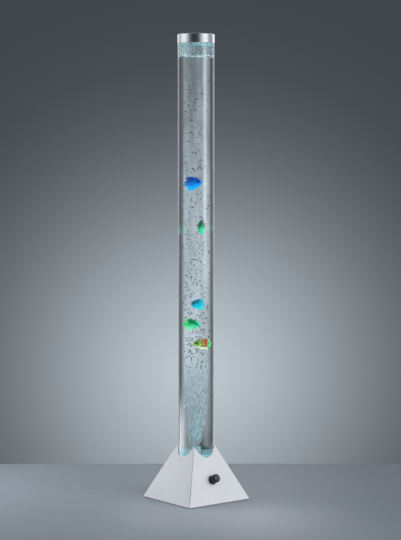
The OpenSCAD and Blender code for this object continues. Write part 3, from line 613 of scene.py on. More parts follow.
@dataclass(frozen=True)
class PlumeBead(Finish):
    """Small bubble of the plume, lit teal from below."""

    pale: Colour = paint(204, 232, 237)
    deep: Colour = paint(72, 108, 122)
    glow: float = 0.42

    def lay(self, shade: Shade) -> None:
        """Strings of pale beads beside strings of deep ones, each bead with a painted darker rim;
        the colours and the glow are painted light.
        """
        island = Reading(shade, shade.node("ShaderNodeNewGeometry").outputs["Random Per Island"])
        facing = Reading(shade, shade.node("ShaderNodeLayerWeight", {}, {0: 0.35}).outputs[1])
        edge = facing.between(0.2, 0.8)
        strings = shade.noise(shade.spot(scale=(1, 1, 0.13)), 420, 2, 0.6)
        share = (strings + island * 0.16 - 0.06).between(0.43, 0.55) * (1 - edge * 0.5)
        colour = shade.blend(share, self.deep, self.pale)
        shader = shade.surface(
            Base_Color=colour,
            Roughness=edge * 0.2 + 0.12,
            Alpha=island * 0.3 + 0.6,
            IOR=1.3,
            Emission_Color=colour,
            Emission_Strength=self.glow,
        )
        shade.close(shader)


@dataclass(frozen=True)
class PorousStone(Finish):
    """Sintered air stone, full of pores."""

    tint: Colour = paint(190, 214, 218)

    def lay(self, shade: Shade) -> None:
        """Rough grains with pores painted darker as shade, and a painted teal glow."""
        spot = shade.spot()
        pores = shade.cells(spot, 1100)
        grains = shade.noise(spot, 700, 4, 0.7)
        colour = shade.blend(pores.between(0.15, 0.5), paint(104, 138, 146), self.tint)
        shader = shade.surface(
            Base_Color=colour,
            Roughness=grains * 0.15 + 0.8,
            Normal=shade.bump(pores + grains * 0.5, 0.0008),
            Emission_Color=paint(150, 212, 220),
            Emission_Strength=0.3,
        )
        shade.close(shader)


@dataclass(frozen=True)
class PrintedBoard(Finish):
    """Circuit board with tracks under its lacquer and tinned pads."""

    lacquer: Colour = paint(24, 92, 56)
    track: Colour = paint(44, 128, 78)

    def lay(self, shade: Shade) -> None:
        """Lacquer over copper tracks, with pads showing through."""
        spot = shade.spot()
        x, y, _ = shade.parts(spot)
        drift = shade.noise(spot, 60, 1, 0.4)
        tracks = ((x + y * 0.35) * 2200 + drift * 18).wave().between(0.55, 0.75)
        pads = shade.cells(spot, 190).between(0.17, 0.14)
        board = shade.blend(tracks, self.lacquer, self.track)
        colour = shade.blend(pads, board, paint(205, 205, 200))
        shader = shade.surface(
            Base_Color=colour,
            Roughness=0.35 - pads * 0.12,
            Metallic=pads * 0.8,
            Normal=shade.bump(tracks + pads, 0.00008, 0.6),
        )
        shade.close(shader)


@dataclass(frozen=True)
class Winding(Finish):
    """Wire or sheets laid side by side: a coil's turns, a core's laminations."""

    tint: Colour = paint(176, 96, 48)
    pitch: float = 0.4 * MM
    metallic: float = 0.85
    axis: int = 0

    def lay(self, shade: Shade) -> None:
        """Fine parallel ridges across the chosen axis."""
        spot = shade.spot()
        across = shade.parts(spot)[self.axis]
        ridge = (across * (math.tau / self.pitch)).wave() * 0.5 + 0.5
        wear = shade.noise(spot, 400, 3, 0.6)
        deep = tuple(c * 0.35 for c in self.tint[:3]) + (1.0,)
        shader = shade.surface(
            Base_Color=shade.blend(ridge.between(0.05, 0.6), deep, self.tint),
            Metallic=self.metallic,
            Roughness=wear * 0.2 + 0.25,
            Normal=shade.bump(ridge, 0.0001),
        )
        shade.close(shader)


@dataclass(frozen=True)
class Components(Finish):
    """The mixed small parts on the control board."""

    def lay(self, shade: Shade) -> None:
        """Each part gets one of the usual body colours."""
        island = shade.node("ShaderNodeNewGeometry").outputs["Random Per Island"]
        stops = [
            (0.0, paint(24, 25, 27)),
            (0.3, paint(30, 52, 96)),
            (0.55, paint(214, 214, 206)),
            (0.8, paint(38, 38, 40)),
        ]
        ramp = shade.node("ShaderNodeValToRGB", {"stops": stops}, {0: island})
        ramp.color_ramp.interpolation = "CONSTANT"
        fine = shade.noise(shade.spot(), 1500, 2, 0.5)
        dust = fine.between(0.4, 0.8) * 0.25
        shader = shade.surface(
            Base_Color=shade.blend(dust, ramp.outputs[0], paint(90, 90, 92)),
            Roughness=fine * 0.2 + 0.35,
            Normal=shade.bump(fine, 0.0001, 0.5),
        )
        shade.close(shader)


@dataclass(frozen=True)
class LightChip(Finish):
    """Lamp chip: white body with a phosphor face that shines."""

    glow_tint: Colour = paint(120, 232, 240)
    glow: float = 4.0

    def lay(self, shade: Shade) -> None:
        """The top face shines and the sides are white plastic."""
        normal = shade.node("ShaderNodeNewGeometry").outputs["Normal"]
        _, _, up = shade.parts(normal)
        top = up.between(0.5, 0.9)
        grain = shade.noise(shade.spot(), 2500, 2, 0.5)
        lit = shade.blend(top, BLACK, self.glow_tint)
        shader = shade.surface(
            Base_Color=shade.blend(top, paint(235, 235, 230), paint(240, 232, 150)),
            Roughness=grain * 0.2 + 0.3,
            Emission_Color=lit,
            Emission_Strength=self.glow,
        )
        shade.close(shader)


@dataclass(frozen=True)
class Silicone(Finish):
    """Milky air hose."""

    tint: Colour = paint(222, 230, 232)

    def lay(self, shade: Shade) -> None:
        """Soft milky wall that lets some light through."""
        cloud = shade.noise(shade.spot(), 300, 3, 0.5)
        shader = shade.surface(
            Base_Color=shade.blend(cloud, self.tint, paint(206, 218, 222)),
            Roughness=cloud * 0.2 + 0.25,
            Transmission_Weight=0.45,
            IOR=1.41,
            Normal=shade.bump(cloud, 0.0001, 0.4),
        )
        shade.close(shader)


class Markings(Enum):
    """Colour scheme of a toy fish."""

    BLUE = "blue"
    GREEN = "green"
    TURQUOISE = "turquoise"
    LIME = "lime"
    STRIPED = "striped"


@dataclass(frozen=True)
class FishSkin(Finish):
    """Tinted, slightly see-through soft plastic with moulded scales and fin rays."""

    markings: Markings = Markings.BLUE
    centre: Point = (0, 0, 0)
    turn: Matrix = field(default_factory=lambda: Matrix.Identity(4), hash=False, compare=False)
    length: float = 36 * MM
    height: float = 30 * MM
    glow: float = 0.7

    def lay(self, shade: Shade) -> None:
        """Colours by place along and up the fish, over scales and rays."""
        spot = shade.spot(self.centre, self.turn)
        x, y, z = shade.parts(spot)
        along, side, up = x / self.length, y.magnitude(), z / self.height
        mottle = shade.noise(spot, 210, 3, 0.6)
        colour = self.pattern(shade, along, up, side, mottle)
        scales = shade.cells(spot, 520)
        rays = (shade.maths("ARCTAN2", z, x) * 44).wave()
        thin = side.between(1.6 * MM, 0.9 * MM)
        folds = shade.noise(shade.spot(self.centre, self.turn, (1, 0.3, 1)), 420, 3, 0.65)
        # Painted shade: the folds are darkened towards the fold shade tint.
        colour = shade.blend(folds.between(0.5, 0.68) * 0.6, colour, self.fold_shade_tint())
        eye_x, eye_z = along - 0.27, up - 0.055
        eye = (eye_x * eye_x + eye_z * eye_z) ** 0.5
        colour = shade.blend(eye.between(0.088, 0.056), colour, paint(4, 18, 22))
        shader = shade.surface(
            Base_Color=colour,
            Roughness=mottle * 0.15 + 0.16,
            Normal=shade.bump(scales * (1 - thin) + rays * thin * 0.4 + folds * 1.6, 0.0007, 0.9),
            IOR=1.1,
            # Painted glow: the skin shines in its own colours, for the lamps' light from below.
            Emission_Color=colour,
            Emission_Strength=self.glow,
        )
        shade.close(shader)

    def fold_shade_tint(self) -> Colour:
        """The painted shade colour in the folds of the moulding."""
        return {
            Markings.BLUE: paint(0, 62, 138),
            Markings.GREEN: paint(0, 70, 42),
            Markings.TURQUOISE: paint(0, 92, 118),
            Markings.LIME: paint(4, 92, 60),
            Markings.STRIPED: paint(92, 88, 22),
        }[self.markings]

    def pattern(
        self, shade: Shade, along: Reading, up: Reading, side: Reading, mottle: Reading
    ) -> bpy.types.NodeSocket:
        """The scheme's colours.

        Args:
            shade: The shader tree.
            along: Place from tail (-0.5) to nose (0.5).
            up: Place from belly (-0.5) to back (0.5).
            side: Distance from the fish's middle plane, in metres.
            mottle: Noise that breaks up the edges of a patch.

        Returns:
            The colour socket.
        """
        drift = up + (mottle - 0.5) * 0.24
        back = drift.between(-0.06, 0.2)
        belly = drift.between(-0.05, -0.32)
        if self.markings is Markings.BLUE:
            body = shade.blend(back, paint(0, 124, 216), paint(0, 70, 156))
            return shade.blend(belly, body, paint(2, 184, 250))
        if self.markings is Markings.GREEN:
            body = shade.blend(drift.between(-0.2, 0.2), paint(10, 196, 136), paint(0, 92, 58))
            keel = drift.between(-0.06, -0.34)
            body = shade.blend(keel, body, paint(24, 222, 164))
            ridge = side.between(0.9 * MM, 0.3 * MM) * drift.between(0.1, -0.12)
            return shade.blend(ridge, body, paint(120, 255, 206))
        if self.markings is Markings.TURQUOISE:
            body = shade.blend(back, paint(0, 178, 204), paint(0, 112, 128))
            body = shade.blend(along.between(0.02, -0.3) * 0.75, body, paint(0, 208, 238))
            return shade.blend(belly, body, paint(20, 228, 236))
        if self.markings is Markings.LIME:
            body = shade.blend(back, paint(34, 214, 140), paint(0, 122, 58))
            body = shade.blend(along.between(0.05, 0.3) * 0.8, body, paint(26, 216, 172))
            body = shade.blend(along.between(-0.16, -0.3), body, paint(52, 222, 118))
            return shade.blend(belly, body, paint(140, 250, 190))
        body = shade.blend(back, paint(158, 210, 84), paint(116, 166, 44))
        body = shade.blend(belly, body, paint(240, 246, 220))
        patch = (along + (mottle - 0.5) * 1.3).between(-0.05, -0.1) * up.between(-0.28, -0.16)
        body = shade.blend(patch, body, paint(178, 62, 34))
        body = shade.blend(along.between(-0.24, -0.32), body, paint(112, 240, 146))
        dots = mottle.between(0.58, 0.63) * up.between(-0.3, -0.1)
        return shade.blend(dots, body, paint(70, 44, 16))


WHITE_COAT = PowderCoat("cover_coat")
ZINC = Metal("zinc_sheet", paint(190, 194, 200), 0.34, Brushing.CAST, 0.2)
SCREW_STEEL = Metal("screw_steel", paint(205, 206, 208), 0.26, Brushing.CAST, 0.12)
BRIGHT_CAP = Metal("bright_cap", paint(238, 238, 240), 0.24, Brushing.ROUND, 0.1)
BRASS = Metal("brass", paint(214, 184, 106), 0.28, Brushing.CAST, 0.12)
MAGNET = Metal("magnet_plating", paint(120, 121, 126), 0.32, Brushing.CAST, 0.2)
RUBBER = Moulded("rubber", paint(26, 26, 28), 0.8, 1100)
# The holder has a faint painted teal glow.
HOLDER = Moulded("holder_moulding", paint(224, 224, 218), 0.5, 1300, 0.07)
PUMP_BLACK = Moulded("pump_moulding", paint(42, 44, 48), 0.5, 1500)
LEVER = Moulded("lever_moulding", paint(196, 190, 168), 0.45, 1500)
VALVE = Moulded("valve_moulding", paint(222, 226, 228), 0.35, 1500)
CLIP = Moulded("clip_moulding", paint(74, 76, 80), 0.5, 1500)
CONTROL_BODY = Moulded("control_body", paint(70, 92, 124), 0.4, 1700)
KNOB_BLACK = Moulded("knob_moulding", paint(14, 16, 18), 0.46, 2200)
KNOB_DISC = Moulded("knob_disc", paint(70, 76, 82), 0.38, 2600)
INLET_BLACK = Moulded("inlet_moulding", paint(24, 24, 26), 0.4, 1700)
# The cap insert and the plug seal are tinted teal and glow: painted light from the lamps below.
INSERT = Moulded("insert_moulding", paint(146, 178, 184), 0.42, 1700, 0.05)
PLUG_SEAL = Moulded("seal_silicone", paint(140, 178, 186), 0.45, 1500, 0.22)
# Painted shade: the strips behind the seams are near black, so each seam shows as a dark line.
SEAM_SHADE_COAT = Moulded("seam_painted_shade", paint(22, 23, 26), 0.6, 1500)
LEAD_BLACK = Moulded("lead_black", paint(28, 28, 30), 0.5, 1500)
LEAD_WHITE = Moulded("lead_white", paint(216, 216, 212), 0.5, 1500)
LEAD_GREY = Moulded("lead_grey", paint(120, 122, 126), 0.5, 1500)
CLEAR_TUBE = ClearPlastic("clear_tube", draw_depth=0.00003, spray_from=WATER_LINE)
# The plug's glow tint is a painted teal glow, for the lamps' light coming up through it.
CLEAR_PLUG = ClearPlastic(
    "lit_plug", (0.82, 0.93, 0.94, 1.0), 0.12, 0.00003, glow_tint=(0.055, 0.115, 0.13, 1.0)
)
WATER = StirredWater("stirred_water")
SPECK = BubbleFilm("bubble_film", high_fade=0.5)
FROTH = BubbleFilm("froth_film", paint(104, 134, 142), paint(214, 238, 242), 0.62, 0.3, 0.5)
SURF = BubbleFilm("surf_film", paint(134, 168, 178), paint(222, 240, 244), 0.55, 0.44, 0.6)
DROP = BubbleFilm("drop_film", paint(120, 150, 156), paint(220, 240, 242), 0.5, 0.1, 0.25)
BEAD = PlumeBead("plume_bead")
STONE = PorousStone("porous_stone")
BOARD = PrintedBoard("printed_board")
LIGHT_BOARD = PrintedBoard("light_board", paint(226, 228, 226), paint(204, 208, 206))
CHIP = LightChip("light_chip")
COIL = Winding("coil_winding")
CORE = Winding("core_laminations", paint(118, 120, 126), 0.5 * MM, 1.0, 1)
PARTS = Components("board_parts")
HOSE = Silicone("air_hose")


@dataclass
class Shop:
    """What every sub-assembly needs: the frame, and the pieces made so far."""

    frame: dict[str, Any]
    made: list[bpy.types.Object] = field(default_factory=list)

    def coat(self, node: str, finish: Finish) -> None:
        """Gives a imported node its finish."""
        mesh = self.frame["nodes"][node].data
        mesh.materials.clear()
        mesh.materials.append(finish.material())
        LOG.info("%s: %s", node, finish.name)

    def piece(
        self,
        name: str,
        points: Sequence[Sequence[float]],
        faces: Sequence[Sequence[int]],
        finish: Finish,
    ) -> bpy.types.Object:
        """Adds a smooth mesh piece.

        Args:
            name: The piece's name.
            points: Its corners, in metres.
            faces: Its faces, as numbers of corners.
            finish: Its finish.

        Returns:
            The new object.
        """
        mesh = bpy.data.meshes.new(name)
        mesh.from_pydata([tuple(p) for p in points], [], [tuple(f) for f in faces])
        mesh.update()
        mesh.polygons.foreach_set("use_smooth", [True] * len(mesh.polygons))
        mesh.materials.append(finish.material())
        return self.keep(bpy.data.objects.new(name, mesh))

    def keep(self, piece: bpy.types.Object) -> bpy.types.Object:
        """Links a piece to the scene and notes it."""
        if piece.name not in bpy.context.scene.collection.objects:
            bpy.context.scene.collection.objects.link(piece)
        self.made.append(piece)
        LOG.info("%s: %d faces", piece.name, len(piece.data.polygons))
        return piece


def revolve(
    profile: Sequence[tuple[float, float]], steps: int
) -> tuple[list[Point], list[list[int]]]:
    """Turns a profile of (radius, height) points round the upright axis.

    Args:
        profile: Points from the lower pole to the upper one, both with radius 0.
        steps: Number of steps round.

    Returns:
        Corners and faces of the closed shape, faces outwards.
    """
    points: list[Point] = [(0.0, 0.0, profile[0][1])]
    for radius, height in profile[1:-1]:
        for step in range(steps):
            angle = math.tau * step / steps
            points.append((radius * math.cos(angle), radius * math.sin(angle), height))
    points.append((0.0, 0.0, profile[-1][1]))
    rows = len(profile) - 2
    last = len(points) - 1
    faces = [[0, 1 + (s + 1) % steps, 1 + s] for s in range(steps)]
    for row in range(rows - 1):
        low, high = 1 + row * steps, 1 + (row + 1) * steps
        for s in range(steps):
            t = (s + 1) % steps
            faces.append([low + s, low + t, high + t, high + s])
    top = 1 + (rows - 1) * steps
    faces += [[top + s, top + (s + 1) % steps, last] for s in range(steps)]
    return points, faces


class Swarm(Bench):
    """A Geometry Nodes tree with named inputs that ends in plain meshes."""

    def __init__(self, name: str, inputs: dict[str, tuple[str, Any]]) -> None:
        """Makes the tree.

        Args:
            name: The tree's name.
            inputs: Socket type and value of each input, by name.
        """
        super().__init__(bpy.data.node_groups.new(name, "GeometryNodeTree"))
        self.name = name
        self.values = {key: value for key, (_, value) in inputs.items()}
        face = self.tree.interface
        face.new_socket("Geometry", in_out="OUTPUT", socket_type="NodeSocketGeometry")
        for key, (kind, _) in inputs.items():
            face.new_socket(key, in_out="INPUT", socket_type=kind)
        self.given = self.node("NodeGroupInput")
        self.seed = 0

    def size(self, name: str) -> Reading:
        """One of the tree's inputs."""
        return Reading(self, self.given.outputs[name])

    def chance(self, low: Any = 0.0, high: Any = 1.0) -> Reading:
        """A random number for each point, from a fixed seed."""
        self.seed += 1
        made = self.node(
            "FunctionNodeRandomValue",
            {"data_type": "FLOAT"},
            {2: low, 3: high, "Seed": self.size("Seed") + self.seed * 17},
        )
        return Reading(self, made.outputs[1])

    def scatter(self) -> bpy.types.NodeSocket:
        """Points spread evenly through a column that widens with height."""
        low, high = self.size("Low"), self.size("High")
        number = Reading(self, self.node("GeometryNodeInputIndex").outputs[0])
        start = (high - low) * self.chance(0.0, 0.09)
        share = (number + self.chance()) / self.size("Count")
        height = low + start + (high - low) * 0.91 * share ** self.size("Crowding")
        widening = self.maths("MINIMUM", (height - low) / self.size("Widening"), 1.0)
        reach = self.size("Foot Reach") + (self.size("Reach") - self.size("Foot Reach")) * widening
        out = self.chance() ** 0.5 * (1 - self.size("Hollow")) + self.size("Hollow")
        angle = number * math.radians(137.5) + self.chance(0.0, 1.2)
        x = reach * out * self.maths("COSINE", angle)
        y = reach * out * self.maths("SINE", angle)
        place = self.node("ShaderNodeCombineXYZ", {}, {0: x, 1: y, 2: height}).outputs[0]
        points = self.node("GeometryNodePoints", {}, {"Count": self.size("Count")}).outputs[0]
        return self.node("GeometryNodeSetPosition", {}, {0: points, "Position": place}).outputs[0]

    def grow(self, shop: Shop, last: bpy.types.NodeSocket, finish: Finish) -> bpy.types.Object:
        """Ends the tree, runs it and keeps the plain mesh.

        Args:
            shop: Where the piece is kept.
            last: The geometry to show.
            finish: The piece's finish.

        Returns:
            The new object.
        """
        smooth = self.node("GeometryNodeSetShadeSmooth", {}, {0: last}).outputs[0]
        coated = self.node(
            "GeometryNodeSetMaterial", {}, {0: smooth, "Material": finish.material()}
        ).outputs[0]
        self.node("NodeGroupOutput", {}, {0: coated})
        carrier = bpy.data.objects.new(self.name + "_seed", bpy.data.meshes.new(self.name))
        bpy.context.scene.collection.objects.link(carrier)
        modifier = carrier.modifiers.new("grow", "NODES")
        modifier.node_group = self.tree
        for item in self.tree.interface.items_tree:
            if item.in_out == "INPUT":
                modifier[item.identifier] = self.values[item.name]
        graph = bpy.context.evaluated_depsgraph_get()
        mesh = bpy.data.meshes.new_from_object(carrier.evaluated_get(graph))
        carrier.modifiers.remove(modifier)
        bpy.data.objects.remove(carrier)
        mesh.name = self.name
        return shop.keep(bpy.data.objects.new(self.name, mesh))


@dataclass
class BubbleSwarm:
    """Round or flattened bubbles spread through part of the water."""

    name: str
    finish: Finish
    count: int
    low: float
    high: float
    foot_reach: float
    reach: float
    widening: float
    small: float
    large: float
    flatness: float = 0.7
    crowding: float = 1.0
    hollow: float = 0.0
    seed: int = 3

    def build(self, shop: Shop) -> bpy.types.Object:
        """Grows the bubbles and returns their mesh."""
        swarm = Swarm(
            self.name,
            {
                "Count": ("NodeSocketInt", self.count),
                "Low": ("NodeSocketFloat", self.low),
                "High": ("NodeSocketFloat", self.high),
                "Foot Reach": ("NodeSocketFloat", self.foot_reach),
                "Reach": ("NodeSocketFloat", self.reach),
                "Widening": ("NodeSocketFloat", self.widening),
                "Crowding": ("NodeSocketFloat", self.crowding),
                "Hollow": ("NodeSocketFloat", self.hollow),
                "Small": ("NodeSocketFloat", self.small),
                "Large": ("NodeSocketFloat", self.large),
                "Flatness": ("NodeSocketFloat", self.flatness),
                "Seed": ("NodeSocketInt", self.seed),
            },
        )
        points = swarm.scatter()
        ball = swarm.node(
            "GeometryNodeMeshUVSphere", {}, {"Segments": 9, "Rings": 6, "Radius": 1.0}
        ).outputs[0]
        share = swarm.chance() ** 2.0
        size = swarm.size("Small") + (swarm.size("Large") - swarm.size("Small")) * share
        scale = swarm.node(
            "ShaderNodeCombineXYZ", {}, {0: size, 1: size, 2: size * swarm.size("Flatness")}
        ).outputs[0]
        tilt = swarm.node(
            "ShaderNodeCombineXYZ", {}, {0: swarm.chance(-0.35, 0.35), 1: swarm.chance(-0.35, 0.35)}
        ).outputs[0]
        balls = swarm.node(
            "GeometryNodeInstanceOnPoints",
            {},
            {"Points": points, "Instance": ball, "Scale": scale, "Rotation": tilt},
        ).outputs[0]
        plain = swarm.node("GeometryNodeRealizeInstances", {}, {0: balls}).outputs[0]
        return swarm.grow(shop, plain, self.finish)


@dataclass
class BeadPlume:
    """Wavering strings of small bubbles that rise from the air stone."""

    name: str = "plume_beads"
    finish: Finish = BEAD
    count: int = 330
    low: float = STONE_TOP - 2 * MM
    high: float = 345 * MM
    foot_reach: float = 12.5 * MM
    reach: float = 24.5 * MM
    widening: float = 100 * MM
    crowding: float = 1.38
    length_low: float = 10 * MM
    length_high: float = 40 * MM
    spacing: float = 1.35 * MM
    small: float = 0.4 * MM
    large: float = 0.7 * MM
    sway: float = 9 * MM
    seed: int = 11

    def build(self, shop: Shop) -> bpy.types.Object:
        """Grows the strings and returns their mesh."""
        swarm = Swarm(
            self.name,
            {
                "Count": ("NodeSocketInt", self.count),
                "Low": ("NodeSocketFloat", self.low),
                "High": ("NodeSocketFloat", self.high),
                "Foot Reach": ("NodeSocketFloat", self.foot_reach),
                "Reach": ("NodeSocketFloat", self.reach),
                "Widening": ("NodeSocketFloat", self.widening),
                "Crowding": ("NodeSocketFloat", self.crowding),
                "Hollow": ("NodeSocketFloat", 0.0),
                "Shortest": ("NodeSocketFloat", self.length_low),
                "Longest": ("NodeSocketFloat", self.length_high),
                "Spacing": ("NodeSocketFloat", self.spacing),
                "Small": ("NodeSocketFloat", self.small),
                "Large": ("NodeSocketFloat", self.large),
                "Sway": ("NodeSocketFloat", self.sway),
                "Seed": ("NodeSocketInt", self.seed),
            },
        )
        points = swarm.scatter()
        line = swarm.node("GeometryNodeCurvePrimitiveLine", {}, {"End": (0, 0, 1)}).outputs[0]
        line = swarm.node("GeometryNodeResampleCurve", {}, {"Curve": line, "Count": 12}).outputs[0]
        long = swarm.chance(swarm.size("Shortest"), swarm.size("Longest"))
        scale = swarm.node("ShaderNodeCombineXYZ", {}, {0: 1.0, 1: 1.0, 2: long}).outputs[0]
        lines = swarm.node(
            "GeometryNodeInstanceOnPoints", {}, {"Points": points, "Instance": line, "Scale": scale}
        ).outputs[0]
        lines = swarm.node("GeometryNodeRealizeInstances", {}, {0: lines}).outputs[0]
        place = swarm.node("GeometryNodeInputPosition").outputs[0]
        stretched = swarm.node(
            "ShaderNodeVectorMath", {"operation": "MULTIPLY"}, {0: place, 1: (1, 1, 0.6)}
        ).outputs[0]
        wander = swarm.node(
            "ShaderNodeTexNoise", {}, {"Vector": stretched, "Scale": 60.0, "Detail": 2.0}
        ).outputs["Color"]
        centred = swarm.node(
            "ShaderNodeVectorMath", {"operation": "SUBTRACT"}, {0: wander, 1: (0.5, 0.5, 0.5)}
        ).outputs[0]
        sway = swarm.node(
            "ShaderNodeCombineXYZ", {}, {0: swarm.size("Sway"), 1: swarm.size("Sway")}
        ).outputs[0]
        shift = swarm.node(
            "ShaderNodeVectorMath", {"operation": "MULTIPLY"}, {0: centred, 1: sway}
        ).outputs[0]
        lines = swarm.node("GeometryNodeSetPosition", {}, {0: lines, "Offset": shift}).outputs[0]
        spots = swarm.node(
            "GeometryNodeCurveToPoints",
            {"mode": "LENGTH"},
            {"Curve": lines, "Length": swarm.size("Spacing")},
        ).outputs[0]
        ball = swarm.node(
            "GeometryNodeMeshIcoSphere", {}, {"Subdivisions": 1, "Radius": 1.0}
        ).outputs[0]
        size = swarm.chance(swarm.size("Small"), swarm.size("Large"))
        grain = swarm.node("ShaderNodeCombineXYZ", {}, {0: size, 1: size, 2: size}).outputs[0]
        beads = swarm.node(
            "GeometryNodeInstanceOnPoints", {}, {"Points": spots, "Instance": ball, "Scale": grain}
        ).outputs[0]
        plain = swarm.node("GeometryNodeRealizeInstances", {}, {0: beads}).outputs[0]
        return swarm.grow(shop, plain, self.finish)


@dataclass
class WaterFill:
    """The water in the tube and everything that floats in it, apart from the fish."""

    overlap: float = 0.1 * MM
    meniscus: float = 1.6 * MM
    ripple: float = 0.35 * MM
    steps: int = 96

    def build(self, shop: Shop) -> None:
        """Makes the water, its bubbles, the froth on top and the drops above it."""
        self.column(shop)
        for swarm in self.swarms():
            piece = swarm.build(shop)
            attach(piece, "base")

    def column(self, shop: Shop) -> None:
        """Makes the water itself, a little into the wall that holds it."""
        radius = BORE_RADIUS + self.overlap
        low = PLUG_TOP - self.overlap
        high = WATER_LINE + self.meniscus
        lip = 0.15 * MM
        profile = [(0.0, low), (radius - lip, low), (radius, low), (radius, low + lip)]
        profile += [(radius, low + (high - low) * i / 24) for i in range(1, 24)]
        profile += [(radius, high - lip), (radius, high), (radius - lip, high - lip)]
        for i in range(1, 14):
            share = 1 - i / 14
            rise = self.meniscus * math.exp(-(1 - share) * radius / (1.4 * MM))
            profile.append((radius * share, WATER_LINE + rise))
        profile.append((0.0, WATER_LINE))
        points, faces = revolve(profile, self.steps)
        shaken = []
        for x, y, z in points:
            if z > WATER_LINE - 0.01 * MM and math.hypot(x, y) < radius - 1 * MM:
                z += self.ripple * math.sin(x * 310 + 0.7) * math.cos(y * 260 + x * 90)
            shaken.append((x, y, z))
        water = shop.piece("water_column", shaken, faces, WATER)
        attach(water, "base")

    def swarms(self) -> Iterable[BubbleSwarm | BeadPlume]:
        """The groups of bubbles, from the stone upwards."""
        wall = BORE_RADIUS - 0.6 * MM
        yield BeadPlume()
        yield BubbleSwarm(
            name="plume_bubbles",
            finish=FROTH,
            count=560,
            low=STONE_TOP + 8 * MM,
            high=430 * MM,
            foot_reach=11 * MM,
            reach=26 * MM,
            widening=120 * MM,
            small=0.4 * MM,
            large=0.95 * MM,
            flatness=0.8,
            crowding=1.2,
            hollow=0.0,
            seed=5,
        )
        yield BubbleSwarm(
            name="rising_bubbles",
            finish=SPECK,
            count=620,
            low=330 * MM,
            high=WATER_LINE - 8 * MM,
            foot_reach=24 * MM,
            reach=27 * MM,
            widening=120 * MM,
            small=0.95 * MM,
            large=1.65 * MM,
            flatness=1.1,
            crowding=1.55,
            hollow=0.0,
            seed=7,
        )
        yield BubbleSwarm(
            name="wall_bubbles",
            finish=SPECK,
            count=60,
            low=330 * MM,
            high=WATER_LINE - 20 * MM,
            foot_reach=wall,
            reach=wall,
            widening=1.0,
            small=0.5 * MM,
            large=1.1 * MM,
            flatness=0.8,
            crowding=1.1,
            hollow=0.985,
            seed=9,
        )
        yield BubbleSwarm(
            name="surface_froth",
            finish=SURF,
            count=620,
            low=WATER_LINE - 2.8 * MM,
            high=WATER_LINE - 0.4 * MM,
            foot_reach=wall - 1 * MM,
            reach=wall - 1 * MM,
            widening=1.0,
            small=0.6 * MM,
            large=1.7 * MM,
            flatness=0.7,
            crowding=1.0,
            hollow=0.5,
            seed=13,
        )
        yield BubbleSwarm(
            name="wall_drops",
            finish=DROP,
            count=700,
            low=WATER_LINE + 3 * MM,
            high=SKIRT_LOW - 1 * MM,
            foot_reach=wall,
            reach=wall,
            widening=1.0,
            small=0.25 * MM,
            large=0.7 * MM,
            flatness=1.2,
            crowding=1.0,
            hollow=0.995,
            seed=15,
        )


def curved(outline: Sequence[tuple[float, float]]) -> list[tuple[float, float]]:
    """Draws a Catmull-Rom curve through the points of a closed outline.

    Args:
        outline: The points, in order.

    Returns:
        The curve's points, three to each stretch.
    """
    fine: list[tuple[float, float]] = []
    count = len(outline)
    for i in range(count):
        a, b, c, d = (outline[(i + j - 1) % count] for j in range(4))
        for t in (0.0, 0.33, 0.67):
            fine.append(
                tuple(
                    0.5
                    * (
                        2 * b[j]
                        + (c[j] - a[j]) * t
                        + (2 * a[j] - 5 * b[j] + 4 * c[j] - d[j]) * t * t
                        + (3 * b[j] - a[j] - 3 * c[j] + d[j]) * t**3
                    )
                    for j in (0, 1)
                )  # type: ignore[arg-type]
            )
    return fine


